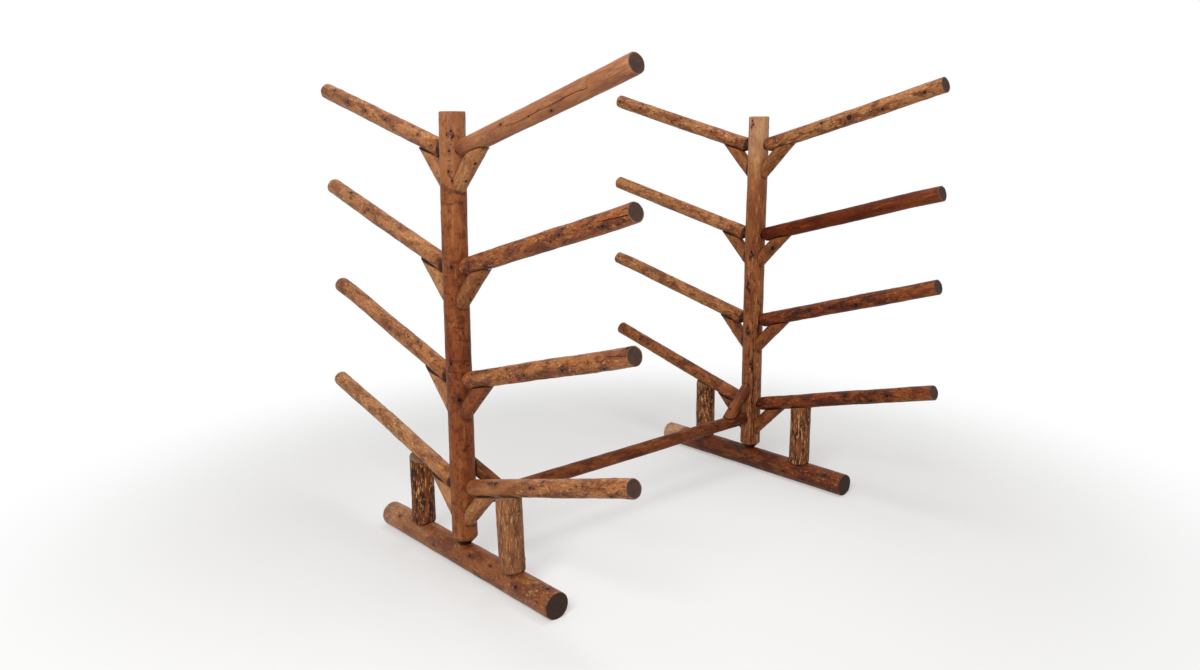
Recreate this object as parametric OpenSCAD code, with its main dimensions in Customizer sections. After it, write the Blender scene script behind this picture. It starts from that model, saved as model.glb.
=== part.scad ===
// Freestanding log rack for long boats and boards.
// Two like trees stand on cross logs and are joined by one rail. Each tree is a peeled post
// with four rising arms on each side. Every arm is a tenoned log held up by a knee brace, and the
// lowest arms also rest on short props. X runs along the rail, Y along the arms, Z is up from the
// ground, and the origin is the centre of the footprint.

/* [Layout] */
// Distance between the two posts, centre to centre
post_spacing = 1860; // [1400:10:2600]
// Height above the ground at which the axes of the lowest arms cross the post's axis
first_tier = 348; // [330:1:450]
// Height from one tier of arms to the next
tier_pitch = 455; // [400:1:600]
// Length of post left above the root of the top arms
post_head = 159; // [80:1:300]

/* [Posts] */
// Diameter of a post at its shoulder, just above the base log
post_foot_d = 105; // [96:1:125]
// Diameter of a post at its top
post_top_d = 103; // [92:1:120]
// Diameter of the tenon under a post
post_tenon_d = 50; // [38:1:60]
// Length of the tenon under a post
post_tenon_l = 55; // [40:1:65]

/* [Base logs] */
// Length of a base log
base_l = 1220; // [1000:10:1600]
// Diameter of a base log
base_d = 110; // [100:1:130]
// Depth of the flat planed along the underside
base_flat = 2; // [1:0.5:5]

/* [Arms] */
// Usual length of an arm from the post's axis to its tip
arm_l = 1067; // [700:1:1300]
// Diameter of an arm at its shoulder
arm_root_d = 73; // [60:1:80]
// Diameter of an arm at its tip
arm_tip_d = 67; // [55:1:76]
// Diameter of the tenon on an arm
arm_tenon_d = 38; // [30:1:45]
// Rise in degrees of the left tree's front arms, lowest tier first
left_front_rise = [15.7, 15.3, 15.5, 15];
// Rise in degrees of the left tree's back arms, lowest tier first
left_back_rise = [14.6, 16.4, 16.4, 15];
// Rise in degrees of the right tree's front arms, lowest tier first
right_front_rise = [14.6, 16.4, 14.4, 14.9];
// Rise in degrees of the right tree's back arms, lowest tier first
right_back_rise = [15, 13.6, 13.5, 14.3];
// Length that the left tree's front arms have over the usual one, lowest tier first
left_front_over = [-3, -2, 2, -5];
// Length that the left tree's back arms have over the usual one, lowest tier first
left_back_over = [25, -34, -14, -7];
// Length that the right tree's front arms have over the usual one, lowest tier first
right_front_over = [25, 21, 2, -17];
// Length that the right tree's back arms have over the usual one, lowest tier first
right_back_over = [0, 15, 4, 6];

/* [Knee braces] */
// Diameter of a knee brace
brace_d = 66; // [50:1:70]
// Depth below the arm's root at which the brace's axis meets the post's surface
brace_drop = 105; // [90:1:130]
// Slope of a knee brace in degrees from level
brace_slope = 45; // [40:1:50]
// Depth to which the round of an arm, a post or the rail beds in the mitred end of a brace
brace_nest = 2; // [1:0.5:8]

/* [Props] */
// Diameter of a prop
prop_d = 104; // [80:1:115]
// Bare length of arm between a knee brace and the prop beside it
prop_gap = 50; // [20:1:80]
// Depth of the flat seat for a prop in the base log
prop_let = 8; // [4:1:16]
// Depth to which an arm beds in the mitred top of its prop
prop_nest = 3; // [1:0.5:16]
// Bevel hewn round the foot of a prop
prop_bevel = 9; // [3:1:15]

/* [Rail] */
// Height of the rail's axis below the root of the lowest arms
rail_drop = 67; // [60:1:90]
// Diameter of the rail
rail_d = 64; // [54:1:76]
// Diameter of the tenons on the rail
rail_tenon_d = 32; // [25:1:38]
// Diameter of a rail brace
rail_brace_d = 60; // [44:1:62]
// Height above the rail's axis at which a rail brace's axis meets the post's surface
rail_brace_rise = 156; // [130:1:190]

/* [Joinery] */
// Slope of every turned shoulder, in degrees from the log's axis
shoulder_slope = 45; // [35:1:60]
// Thickness of post left between the tenons of opposite arms
mortise_web = 12; // [8:1:20]
// Gap all round a tenon in its mortise
tenon_fit = 0.4; // [0.2:0.1:0.8]
// Gap between a seat or shoulder and the log that beds on it
seat_fit = 0.3; // [0.2:0.1:0.8]
// Bevel on a sawn end
end_bevel = 3; // [1:0.5:6]

/* [Screws] */
// Diameter of the shank of a wood screw
screw_d = 7; // [5:0.5:8]
// Diameter of the head of a wood screw
screw_head_d = 13; // [10:0.5:15]
// Thickness of the head of a wood screw
screw_head_h = 4; // [3:0.5:6]
// Depth of a screw head's seat below the face of the log
screw_sink = 14; // [12:1:18]
// Length of a wood screw past the face of the piece that it bites into
screw_bite = 42; // [25:1:45]
// Length of a tenon's cross screw past the middle of the tenon
cross_bite = 12; // [6:1:15]
// Diameter of the shank of a lag screw
lag_d = 10; // [8:0.5:12]
// Width across the corners of the head of a lag screw
lag_head_d = 19; // [16:0.5:22]
// Thickness of the head of a lag screw
lag_head_h = 7; // [5:0.5:9]
// Depth of a lag screw head's seat above the ground
lag_sink = 18; // [12:1:24]
// Length of a lag screw in the end of the log that it holds down
lag_bite = 45; // [30:1:50]
// Gap all round a screw in its hole
screw_fit = 0.2; // [0.1:0.1:0.4]

/* [Hidden] */
// Number of sides of a round in the preview
$fn = 64;

// Signs of a tree's place along X and of an arm's direction along Y
LEFT = -1;
RIGHT = 1;
FRONT = -1;
BACK = 1;
SIDES = [["left", LEFT], ["right", RIGHT]];
FACES = [["front", FRONT], ["back", BACK]];
TIERS = [1, 2, 3, 4];

// Overlap of a cutting shape past the face that it cuts
CUT = 1;
// Length of a drilled counterbore, long enough to leave a sloping face
BORE_RUN = 60;
// Extra depth of a mortise or a pilot hole past the end of what it holds
RELIEF = 1;
// Slope of a prop's upper screw, in degrees from level
TOE_SLOPE = 45;
// Width and depth of the six-sided drive recess in a wood screw, as parts of its head
DRIVE_WIDTH = 0.45;
DRIVE_DEPTH = 0.5;

// Levels of the base logs
base_axis_z = base_d / 2 - base_flat;
base_crest = base_d - base_flat;
prop_foot_z = base_crest - prop_let;

// Levels of a post
top_tier = first_tier + (len(TIERS) - 1) * tier_pitch;
post_top = top_tier + post_head;
post_cone_z = base_crest + seat_fit;
post_shoulder_z = post_cone_z + shoulder_l(post_foot_d, post_tenon_d);

// Level of the rail and of the upper ends of its braces
rail_z = first_tier - rail_drop;
rail_brace_z = rail_z + rail_brace_rise;

// Length of the turned shoulder between a log and its tenon
function shoulder_l(log_d, tenon_d) = (log_d - tenon_d) / 2 / tan(shoulder_slope);

// Height of a tier's roots
function tier_z(tier) = first_tier + (tier - 1) * tier_pitch;

// Radius of a post at a height
function post_r(z) =
    (post_foot_d + (post_top_d - post_foot_d) * (z - post_shoulder_z) / (post_top - post_shoulder_z)) / 2;

// One arm's own value out of four lists, one for each tree and face
function own(side, face, tier, lists) = lists[(side - LEFT) + (face - FRONT) / 2][tier - 1];

// Rise of one arm, and its length from the post's axis
function rise(side, face, tier) =
    own(side, face, tier, [left_front_rise, left_back_rise, right_front_rise, right_back_rise]);
function length(side, face, tier) =
    arm_l + own(side, face, tier, [left_front_over, left_back_over, right_front_over, right_back_over]);

// Places along an arm's own axis, counted from the post's axis: the tip of the tenon, the small end
// of the shoulder, which just clears the post, and the place where the full log begins
function arm_tenon_tip(a) = (mortise_web / 2 + arm_tenon_d / 2 * sin(a)) / cos(a);
function arm_neck(a, tier) =
    (post_r(tier_z(tier)) + seat_fit + arm_tenon_d / 2 * sin(a)) / cos(a);
function arm_shoulder(a, tier) = arm_neck(a, tier) + shoulder_l(arm_root_d, arm_tenon_d);

// Radius of an arm at a distance along its axis
function arm_r(a, tier, s) =
    let (from = arm_shoulder(a, tier))
    (arm_root_d + (arm_tip_d - arm_root_d) * (s - from) / (arm_l - from)) / 2;

// Height at which a knee brace's axis meets the post, and the post's radius there
function brace_z(tier) = tier_z(tier) - brace_drop;
function brace_post_r(tier) = post_r(brace_z(tier));

// Distance from the post's axis at which a line of the brace, raised by lift above its axis, meets a
// line along the arm, lowered by drop below its axis
function brace_meets(a, tier, lift, drop) =
    (brace_drop + brace_post_r(tier) * tan(brace_slope) - lift - drop) / (tan(brace_slope) - tan(a));
function arm_under(a) = arm_root_d / 2 / cos(a);
function brace_top_y(a, tier) = brace_meets(a, tier, 0, 0);
function brace_screw_y(a, tier) = brace_meets(a, tier, 0, arm_under(a));
function brace_reach(a) = brace_meets(a, 1, -brace_d / 2 / cos(brace_slope), arm_under(a));

// Depth of a brace's mitre below the arm's axis
function brace_seat(a, tier) = arm_r(a, tier, brace_screw_y(a, tier) / cos(a)) - brace_nest;

// Distance of a prop from the post's axis, the depth of its mitred top below the arm's axis, and the
// height of that top at the prop's axis
function prop_y(a) = brace_reach(a) + prop_gap + prop_d / 2;
function prop_seat(a) = arm_r(a, 1, prop_y(a) / cos(a)) - prop_nest;
function prop_top(a) = tier_z(1) + prop_y(a) * tan(a) - prop_seat(a) / cos(a);

// Frames: each puts its children where the named thing is

// At the foot of a post's axis
module at_post(side) translate([side * post_spacing / 2, 0, 0]) children();

// The same, with X turned towards the other post
module facing_rail(side) at_post(side) mirror([side == RIGHT ? 1 : 0, 0, 0]) children();

// Along an arm, with Z on its axis from the post outwards
module along_arm(side, face, tier)
    at_post(side) translate([0, 0, tier_z(tier)])
        rotate([-face * (90 - rise(side, face, tier)), 0, 0]) children();

// Along the base log, with Z towards the back
module along_base(side) at_post(side) translate([0, 0, base_axis_z]) rotate([-90, 0, 0]) children();

// On the axis of a prop, at ground level
module at_prop(side, face)
    at_post(side) translate([0, face * prop_y(rise(side, face, 1)), 0]) children();

// Log blanks: turned bodies, each with all its surfaces moved out by grow

// A log along Z with a turned shoulder and tenon at its lower end and a bevelled saw cut at its upper end
module tenoned_log(tip, neck, shoulder, end, tenon, root_d, end_d, grow = 0)
    rotate_extrude()
        polygon([
            [0, tip - grow],
            [tenon / 2 + grow, tip - grow],
            [tenon / 2 + grow, neck - grow],
            [root_d / 2 + grow, shoulder - grow],
            [end_d / 2 + grow, end - end_bevel],
            [end_d / 2 - end_bevel + grow, end + grow],
            [0, end + grow]
        ]);

// A log along Z with a bevelled saw cut at both ends
module sawn_log(from, to, d, foot_bevel = end_bevel)
    rotate_extrude()
        polygon([
            [0, from],
            [d / 2 - foot_bevel, from],
            [d / 2, from + foot_bevel],
            [d / 2, to - end_bevel],
            [d / 2 - end_bevel, to],
            [0, to]
        ]);

module post_blank(side, grow = 0)
    at_post(side)
        tenoned_log(post_cone_z - post_tenon_l, post_cone_z, post_shoulder_z, post_top,
            post_tenon_d, post_foot_d, post_top_d, grow);

module arm_blank(side, face, tier, grow = 0) {
    a = rise(side, face, tier);
    end = length(side, face, tier);
    along_arm(side, face, tier)
        tenoned_log(arm_tenon_tip(a), arm_neck(a, tier), arm_shoulder(a, tier), end,
            arm_tenon_d, arm_root_d, 2 * arm_r(a, tier, end), grow);
}

// The rail is one log with a tenon at each end, lying along X
module rail_blank(grow = 0) {
    tip = post_spacing / 2 - mortise_web / 2;
    neck = post_spacing / 2 - post_r(rail_z) - seat_fit;
    shoulder = neck - shoulder_l(rail_d, rail_tenon_d);
    half = [
        [rail_d / 2 + grow, shoulder + grow],
        [rail_tenon_d / 2 + grow, neck + grow],
        [rail_tenon_d / 2 + grow, tip + grow]
    ];
    translate([0, 0, rail_z]) rotate([0, 90, 0])
        rotate_extrude()
            polygon(concat(
                [[0, -tip - grow]],
                [for (i = [2, 1, 0]) [half[i].x, -half[i].y]],
                half,
                [[0, tip + grow]]
            ));
}

// A knee brace before it is mitred: it runs from inside the post to the arm's axis
module brace_blank(side, face, tier) {
    from = mortise_web;
    to = brace_top_y(rise(side, face, tier), tier);
    at_post(side)
        translate([0, face * from, brace_z(tier) + (from - brace_post_r(tier)) * tan(brace_slope)])
            rotate([-face * (90 - brace_slope), 0, 0])
                cylinder(d = brace_d, h = (to - from) / cos(brace_slope));
}

// A rail brace before it is mitred: it runs from inside the post down to the rail's axis
module rail_brace_blank(side) {
    from = mortise_web;
    top_z = rail_brace_z + (post_r(rail_brace_z) - from) * tan(brace_slope);
    facing_rail(side) translate([from, 0, top_z]) rotate([0, 90 + brace_slope, 0])
        cylinder(d = rail_brace_d, h = (top_z - rail_z) / sin(brace_slope));
}

// Mitres: each is the waste that a flat saw cut takes off the end of a brace or a prop

// All above a plane that is parallel to an arm and lies a depth below its axis
module arm_mitre(side, face, tier, depth)
    along_arm(side, face, tier)
        translate([0, -face * (prop_d - depth), arm_l / 2])
            cube([2 * prop_d, 2 * prop_d, 2 * arm_l], center = true);

// A square block about a post's axis, bedded inside the post's faces, from twice a brace's diameter
// below a height to the same above it
module post_mitre(side, z) {
    width = 2 * (post_r(z) - brace_nest);
    at_post(side) translate([0, 0, z]) cube([width, width, 4 * brace_d], center = true);
}

// The same about the rail's axis
module rail_mitre()
    translate([0, 0, rail_z]) cube([post_spacing, 2 * rail_d, rail_d - 2 * brace_nest], center = true);

// Screws: each lies along Z with its head's seat at the origin and its shank pointing up

module wood_screw(shank_l)
    color("#8b8a86") difference() {
        union() {
            cylinder(d = screw_d, h = shank_l);
            translate([0, 0, -screw_head_h]) cylinder(d = screw_head_d, h = screw_head_h);
        }
        translate([0, 0, -screw_head_h - CUT])
            cylinder(d = screw_head_d * DRIVE_WIDTH, h = screw_head_h * DRIVE_DEPTH + CUT, $fn = 6);
    }

module lag_screw(shank_l)
    color("#8b8a86") {
        cylinder(d = lag_d, h = shank_l);
        translate([0, 0, -lag_head_h]) cylinder(d = lag_head_d, h = lag_head_h, $fn = 6);
    }

// The hole that a screw of either kind needs: a pilot for the shank and a counterbore for the head
module screw_hole(shank_l, shank_d, head_d) {
    translate([0, 0, -BORE_RUN]) cylinder(d = head_d + 2 * screw_fit, h = BORE_RUN);
    translate([0, 0, -CUT]) cylinder(d = shank_d + 2 * screw_fit, h = shank_l + CUT + RELIEF);
}

module wood_screw_hole(shank_l) screw_hole(shank_l, screw_d, screw_head_d);
module lag_screw_hole(shank_l) screw_hole(shank_l, lag_d, lag_head_d);

// Screw places: each draws a screw or, when drill is true, the hole for it

module screw_or_hole(shank_l, drill) {
    if (drill) wood_screw_hole(shank_l);
    else wood_screw(shank_l);
}

// Across the post, through the middle of an arm's tenon
module arm_tenon_screw(side, face, tier, drill = false) {
    a = rise(side, face, tier);
    s = (arm_tenon_tip(a) + arm_neck(a, tier)) / 2;
    seat_x = sqrt(pow(post_r(tier_z(tier)), 2) - pow(s * cos(a), 2)) - screw_head_h - CUT;
    at_post(side) translate([seat_x, face * s * cos(a), tier_z(tier) + s * sin(a)])
        rotate([0, -90, 0]) screw_or_hole(seat_x + cross_bite, drill);
}

// Across the post from the back, through the middle of a rail tenon
module rail_tenon_screw(side, drill = false) {
    x = (mortise_web / 2 + post_r(rail_z)) / 2;
    seat_y = sqrt(pow(post_r(rail_z), 2) - pow(x, 2)) - screw_head_h - CUT;
    facing_rail(side) translate([x, seat_y, rail_z])
        rotate([90, 0, 0]) screw_or_hole(seat_y + cross_bite, drill);
}

// Level, through the lower end of a knee brace into the post
module brace_foot_screw(side, face, tier, drill = false) {
    seat_y = brace_post_r(tier) + brace_d / 2 / sin(brace_slope) - screw_sink;
    at_post(side) translate([0, face * seat_y, brace_z(tier)])
        rotate([face * 90, 0, 0])
            screw_or_hole(seat_y - brace_post_r(tier) + screw_bite, drill);
}

// Upright, through the upper end of a knee brace into the arm
module brace_head_screw(side, face, tier, drill = false) {
    a = rise(side, face, tier);
    y = brace_screw_y(a, tier);
    axis_z = brace_z(tier) + (y - brace_post_r(tier)) * tan(brace_slope);
    seat_z = axis_z - brace_d / 2 / cos(brace_slope) + screw_sink;
    at_post(side) translate([0, face * y, seat_z])
        screw_or_hole(axis_z - seat_z + screw_bite, drill);
}

// Level, through the upper end of a rail brace into the post
module rail_brace_post_screw(side, drill = false) {
    r = post_r(rail_brace_z);
    seat_x = r + rail_brace_d / 2 / sin(brace_slope) - screw_sink;
    facing_rail(side) translate([seat_x, 0, rail_brace_z])
        rotate([0, -90, 0]) screw_or_hole(seat_x - r + screw_bite, drill);
}

// Upright, through the lower end of a rail brace into the rail
module rail_brace_rail_screw(side, drill = false) {
    rail_top = rail_z + rail_d / 2;
    x = post_r(rail_brace_z) + (rail_brace_z - rail_top) / tan(brace_slope);
    seat_z = rail_top + rail_brace_d / 2 / cos(brace_slope) - screw_sink;
    facing_rail(side) translate([x, 0, seat_z])
        rotate([180, 0, 0]) screw_or_hole(seat_z - rail_top + screw_bite, drill);
}

// Rising from the outer face of a prop into the arm on it
module prop_toe_screw(side, face, drill = false) {
    a = rise(side, face, 1);
    along = prop_d / 2 / cos(TOE_SLOPE);
    at_prop(side, face)
        translate([0, face * prop_d / 2, prop_top(a) - prop_d / 2 * tan(TOE_SLOPE)])
            rotate([face * (90 - TOE_SLOPE), 0, 0]) translate([0, 0, screw_sink])
                screw_or_hole(along - screw_sink + screw_bite - prop_nest, drill);
}

// Up through the base log into the end of a post or a prop
module lag_up(from_l, drill) {
    translate([0, 0, lag_sink]) {
        if (drill) lag_screw_hole(from_l - lag_sink + lag_bite);
        else lag_screw(from_l - lag_sink + lag_bite);
    }
}
module post_lag_screw(side, drill = false)
    at_post(side) lag_up(post_cone_z - post_tenon_l, drill);
module prop_lag_screw(side, face, drill = false)
    at_prop(side, face) lag_up(prop_foot_z, drill);

// Sub-parts

// A peeled post, mortised for its arms and the rail
module post(side)
    color("#9c6236") difference() {
        post_blank(side);
        for (face = [FRONT, BACK], tier = TIERS) {
            a = rise(side, face, tier);
            along_arm(side, face, tier)
                translate([0, 0, arm_tenon_tip(a) - RELIEF])
                    cylinder(d = arm_tenon_d + 2 * tenon_fit, h = arm_neck(a, tier));
            arm_tenon_screw(side, face, tier, drill = true);
            brace_foot_screw(side, face, tier, drill = true);
        }
        facing_rail(side) translate([mortise_web / 2 - RELIEF, 0, rail_z]) rotate([0, 90, 0])
            cylinder(d = rail_tenon_d + 2 * tenon_fit, h = post_foot_d);
        rail_tenon_screw(side, drill = true);
        rail_brace_post_screw(side, drill = true);
        post_lag_screw(side, drill = true);
    }

// A log across the foot of a tree, mortised for the post and cut flat under the props
module base_log(side)
    color("#855330") difference() {
        along_base(side) sawn_log(-base_l / 2, base_l / 2, base_d);
        at_post(side) {
            translate([-base_d, -base_l, -base_d]) cube([2 * base_d, 2 * base_l, base_d]);
            translate([0, 0, post_cone_z - post_tenon_l - RELIEF])
                cylinder(d = post_tenon_d + 2 * tenon_fit, h = base_d);
        }
        post_lag_screw(side, drill = true);
        for (face = [FRONT, BACK]) {
            at_prop(side, face) translate([0, 0, prop_foot_z])
                cylinder(d = prop_d + 2 * seat_fit, h = base_d);
            prop_lag_screw(side, face, drill = true);
        }
    }

// A short rough log between the base log and a lowest arm, mitred to the arm that beds on it
module prop(side, face) {
    a = rise(side, face, 1);
    color("#94632f") difference() {
        at_prop(side, face) sawn_log(prop_foot_z, prop_top(a) + prop_d, prop_d, prop_bevel);
        arm_mitre(side, face, 1, prop_seat(a));
        arm_blank(side, face, 1, grow = seat_fit);
        prop_toe_screw(side, face, drill = true);
        prop_lag_screw(side, face, drill = true);
    }
}

// A rising arm with a turned tenon
module arm(side, face, tier)
    color("#925c31") difference() {
        arm_blank(side, face, tier);
        arm_tenon_screw(side, face, tier, drill = true);
        brace_head_screw(side, face, tier, drill = true);
        if (tier == 1) prop_toe_screw(side, face, drill = true);
    }

// A knee brace, mitred to the post below and to the arm above
module knee_brace(side, face, tier)
    color("#a8713b") difference() {
        brace_blank(side, face, tier);
        post_mitre(side, brace_z(tier));
        arm_mitre(side, face, tier, brace_seat(rise(side, face, tier), tier));
        post_blank(side, grow = seat_fit);
        arm_blank(side, face, tier, grow = seat_fit);
        brace_foot_screw(side, face, tier, drill = true);
        brace_head_screw(side, face, tier, drill = true);
    }

// The rail that joins the two trees
module bottom_rail()
    color("#8a5830") difference() {
        rail_blank();
        for (side = [LEFT, RIGHT]) {
            rail_tenon_screw(side, drill = true);
            rail_brace_rail_screw(side, drill = true);
        }
    }

// A brace from the rail up to a post, mitred to both
module rail_brace(side)
    color("#8f5c34") difference() {
        rail_brace_blank(side);
        post_mitre(side, rail_brace_z);
        rail_mitre();
        post_blank(side, grow = seat_fit);
        rail_blank(grow = seat_fit);
        rail_brace_post_screw(side, drill = true);
        rail_brace_rail_screw(side, drill = true);
    }

// The screws that hold one tree's arm tenons
module tenon_screws(side)
    for (face = [FRONT, BACK], tier = TIERS) arm_tenon_screw(side, face, tier);

// The screws in one tree's knee braces
module brace_screws(side)
    for (face = [FRONT, BACK], tier = TIERS) {
        brace_foot_screw(side, face, tier);
        brace_head_screw(side, face, tier);
    }

// The screws from one tree's props into their arms
module prop_screws(side)
    for (face = [FRONT, BACK]) prop_toe_screw(side, face);

// The lag screws up through one base log
module lag_screws(side) {
    post_lag_screw(side);
    for (face = [FRONT, BACK]) prop_lag_screw(side, face);
}

// The screws in the rail's tenons and braces
module rail_screws()
    for (side = [LEFT, RIGHT]) {
        rail_tenon_screw(side);
        rail_brace_post_screw(side);
        rail_brace_rail_screw(side);
    }

for (s = SIDES) {
    post(s[1]);
    base_log(s[1]);
    rail_brace(s[1]);
    tenon_screws(s[1]);
    brace_screws(s[1]);
    prop_screws(s[1]);
    lag_screws(s[1]);
    for (f = FACES) {
        prop(s[1], f[1]);
        for (t = TIERS) {
            arm(s[1], f[1], t);
            knee_brace(s[1], f[1], t);
        }
    }
}
bottom_rail();
rail_screws();
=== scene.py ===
"""Looks of a freestanding rack of peeled, stained logs.

Two like trees stand on cross logs and are joined by one low rail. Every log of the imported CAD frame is
replaced by a peeled log with its own knots, checks and tool marks, and the CAD screws are kept and
dressed. All lengths are in metres, in the frame that the CAD shares: X along the rail, Y along the
arms, Z up from the ground. A log is made along its own Z and then placed.
"""

import logging
import math
import random
from collections.abc import Callable
from dataclasses import dataclass, field, replace
from enum import Enum
from functools import cached_property, reduce

import bmesh
import bpy
import numpy as np
from bmesh.types import BMEdge, BMVert
from bpy.types import Material, Mesh, NodeSocket, Object, World
from mathutils import Matrix, Vector


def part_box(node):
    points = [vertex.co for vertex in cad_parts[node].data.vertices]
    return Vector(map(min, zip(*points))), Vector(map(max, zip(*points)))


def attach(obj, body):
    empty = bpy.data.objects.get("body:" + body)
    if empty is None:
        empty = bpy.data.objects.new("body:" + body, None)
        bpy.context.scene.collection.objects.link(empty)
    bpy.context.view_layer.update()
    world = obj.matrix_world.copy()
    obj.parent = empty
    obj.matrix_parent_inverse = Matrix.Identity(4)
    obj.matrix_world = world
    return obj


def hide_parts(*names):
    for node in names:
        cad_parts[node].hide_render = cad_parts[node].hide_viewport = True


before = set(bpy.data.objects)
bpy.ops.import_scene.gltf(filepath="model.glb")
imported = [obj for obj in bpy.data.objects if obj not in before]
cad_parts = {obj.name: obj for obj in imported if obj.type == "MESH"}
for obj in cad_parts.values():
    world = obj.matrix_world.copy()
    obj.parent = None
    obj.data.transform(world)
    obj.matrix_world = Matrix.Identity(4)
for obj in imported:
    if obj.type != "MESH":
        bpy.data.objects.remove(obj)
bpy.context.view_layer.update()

MM = 0.001
EPS = 1e-5
LOG = logging.getLogger("rack")
# Pairs of a place along a log and the value there
Profile = tuple[tuple[float, float], ...]


class Named(Enum):
    """A choice that the names of CAD nodes hold in small letters."""

    @property
    def label(self) -> str:
        """The choice's name as the CAD nodes write it."""
        return self.name.lower()


class Side(Named):
    """The two trees, by the sign of their place along X."""

    LEFT = -1
    RIGHT = 1


class Face(Named):
    """The two directions in which arms leave a post, by their sign along Y."""

    FRONT = -1
    BACK = 1


class Way(Enum):
    """The directions in which a relief can press a surface."""

    OUT = "NORMAL"
    ACROSS_X = "X"
    ACROSS_Y = "Y"
    ALL = "RGB_TO_XYZ"


class Group(Enum):
    """The vertex groups that say how much of a relief each point takes."""

    BODY = "body"
    FREE = "free"
    KNOTS = "knots"
    SWAY = "sway"


# ---------------------------------------------------------------------------------------------------
# Materials


def linear(colour: str) -> tuple[float, float, float, float]:
    """Turns a written colour into the numbers that a shader socket takes.

    Args:
        colour: sRGB colour as "#rrggbb".

    Returns:
        Linear red, green and blue, and an alpha of 1.
    """
    parts = [int(colour[i : i + 2], 16) / 255 for i in (1, 3, 5)]
    red, green, blue = (c / 12.92 if c <= 0.04045 else ((c + 0.055) / 1.055) ** 2.4 for c in parts)
    return red, green, blue, 1.0


class Nodes:
    """The nodes of one material or of the world."""

    def __init__(self, owner: Material | World) -> None:
        """Clears the owner's nodes.

        Args:
            owner: The material or the world.
        """
        owner.use_nodes = True
        self.tree = owner.node_tree
        self.tree.nodes.clear()

    def add(
        self, kind: str, inputs: dict | None = None, output: str = "", **settings: object
    ) -> NodeSocket:
        """Adds one node with its settings and links.

        Args:
            kind: Blender's name for the kind of node, without the ShaderNode that it starts with.
            inputs: Values or sockets for the node's inputs, by the inputs' names or numbers.
            output: Name of the wanted output; the first one in use if left out.
            **settings: Properties of the node.

        Returns:
            The wanted output socket, or the first input if the node has no output.
        """
        made = self.tree.nodes.new("ShaderNode" + kind)
        for key, value in settings.items():
            setattr(made, key, value)
        for key, value in (inputs or {}).items():
            entry = made.inputs[key] if isinstance(key, int) else next(
                s for s in made.inputs if s.enabled and s.name == key
            )
            if isinstance(value, NodeSocket):
                self.tree.links.new(value, entry)
            else:
                entry.default_value = value
        if not made.outputs:
            return made.inputs[0]
        return next(s for s in made.outputs if s.enabled and output in ("", s.name))


class Surface(Nodes):
    """A material's nodes, with the colour and the height that are laid down so far."""

    def __init__(self, name: str, ground: str) -> None:
        """Makes the material and lays its ground.

        Args:
            name: Name of the material.
            ground: sRGB hex colour of the ground.
        """
        self.made = bpy.data.materials.new(name)
        super().__init__(self.made)
        self.colour = self.add("RGB")
        self.colour.default_value = linear(ground)
        self.height: NodeSocket | float = 0.0

    def lift(self, share: NodeSocket, by: float) -> None:
        """Adds a share of a length, in units of the height, to the height."""
        self.height = self.add("Math", {0: share, 1: by, 2: self.height}, operation="MULTIPLY_ADD")

    def lay(self, cover: NodeSocket, tint: str, proud: float = 0.0) -> None:
        """Lays a tint over the colour.

        Args:
            cover: How much of the colour below it hides, from 0 to 1.
            tint: sRGB hex colour of the tint.
            proud: Height of the tint over what is below it.
        """
        inputs = {"Factor": cover, "A": self.colour, "B": linear(tint)}
        self.colour = self.add("Mix", inputs, data_type="RGBA")
        if proud:
            self.lift(cover, proud)

    def shade(self, light: NodeSocket) -> None:
        """Multiplies the colour by a value."""
        inputs = {"Factor": 1.0, "A": self.colour, "B": light}
        self.colour = self.add("Mix", inputs, data_type="RGBA", blend_type="MULTIPLY")

    def close(self, inputs: dict, unit: float = 0.0) -> Material:
        """Gives the colour and the height to the shader.

        Args:
            inputs: The shader's other inputs.
            unit: Length that a height of 1 stands for, or 0 where no height was laid.

        Returns:
            The material.
        """
        if unit:
            bump = {"Strength": 1.0, "Distance": unit, "Height": self.height}
            inputs["Normal"] = self.add("Bump", bump)
        skin = self.add("BsdfPrincipled", {"Base Color": self.colour, **inputs})
        self.add("OutputMaterial", {"Surface": skin})
        return self.made


class LogSurface(Surface):
    """The nodes of a log's side, which read the log's own attributes grain, knot and stain_and_shade, the
    last with the painted shade of the gaps.
    """

    def __init__(self, name: str, ground: str) -> None:
        """Makes the material and reads the attributes that every layer needs.

        Args:
            name: Name of the material.
            ground: sRGB hex colour of the plain wood.
        """
        super().__init__(name, ground)
        self.grain = self.add("Attribute", output="Vector", attribute_name="grain")
        stain_and_shade = self.add("Attribute", output="Vector", attribute_name="stain_and_shade")
        # Mottle and soak of the stain, and the painted shade of checks, joints and coned shoulders
        self.mottle, self.soak, self.joint = (
            self.add("SeparateXYZ", {"Vector": stain_and_shade}, output=part) for part in "XYZ"
        )

    def drawn_out(self, across: float, along: float) -> NodeSocket:
        """The grain's place in units of a patch of a size in millimetres."""
        units = (1 / (across * MM), 1 / (across * MM), 1 / (along * MM))
        return self.add("VectorMath", {0: self.grain, 1: units}, operation="MULTIPLY")

    def mask(self, value: NodeSocket, low: float, high: float, full: float = 1.0) -> NodeSocket:
        """A soft step from nothing at low to full at high."""
        limits = {"Value": value, "From Min": low, "From Max": high, "To Max": full}
        return self.add("MapRange", limits, interpolation_type="SMOOTHSTEP")

    def common(self, *covers: NodeSocket) -> NodeSocket:
        """What covers have in common: their product."""
        return reduce(lambda a, b: self.add("Math", {0: a, 1: b}, operation="MULTIPLY"), covers)


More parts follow.
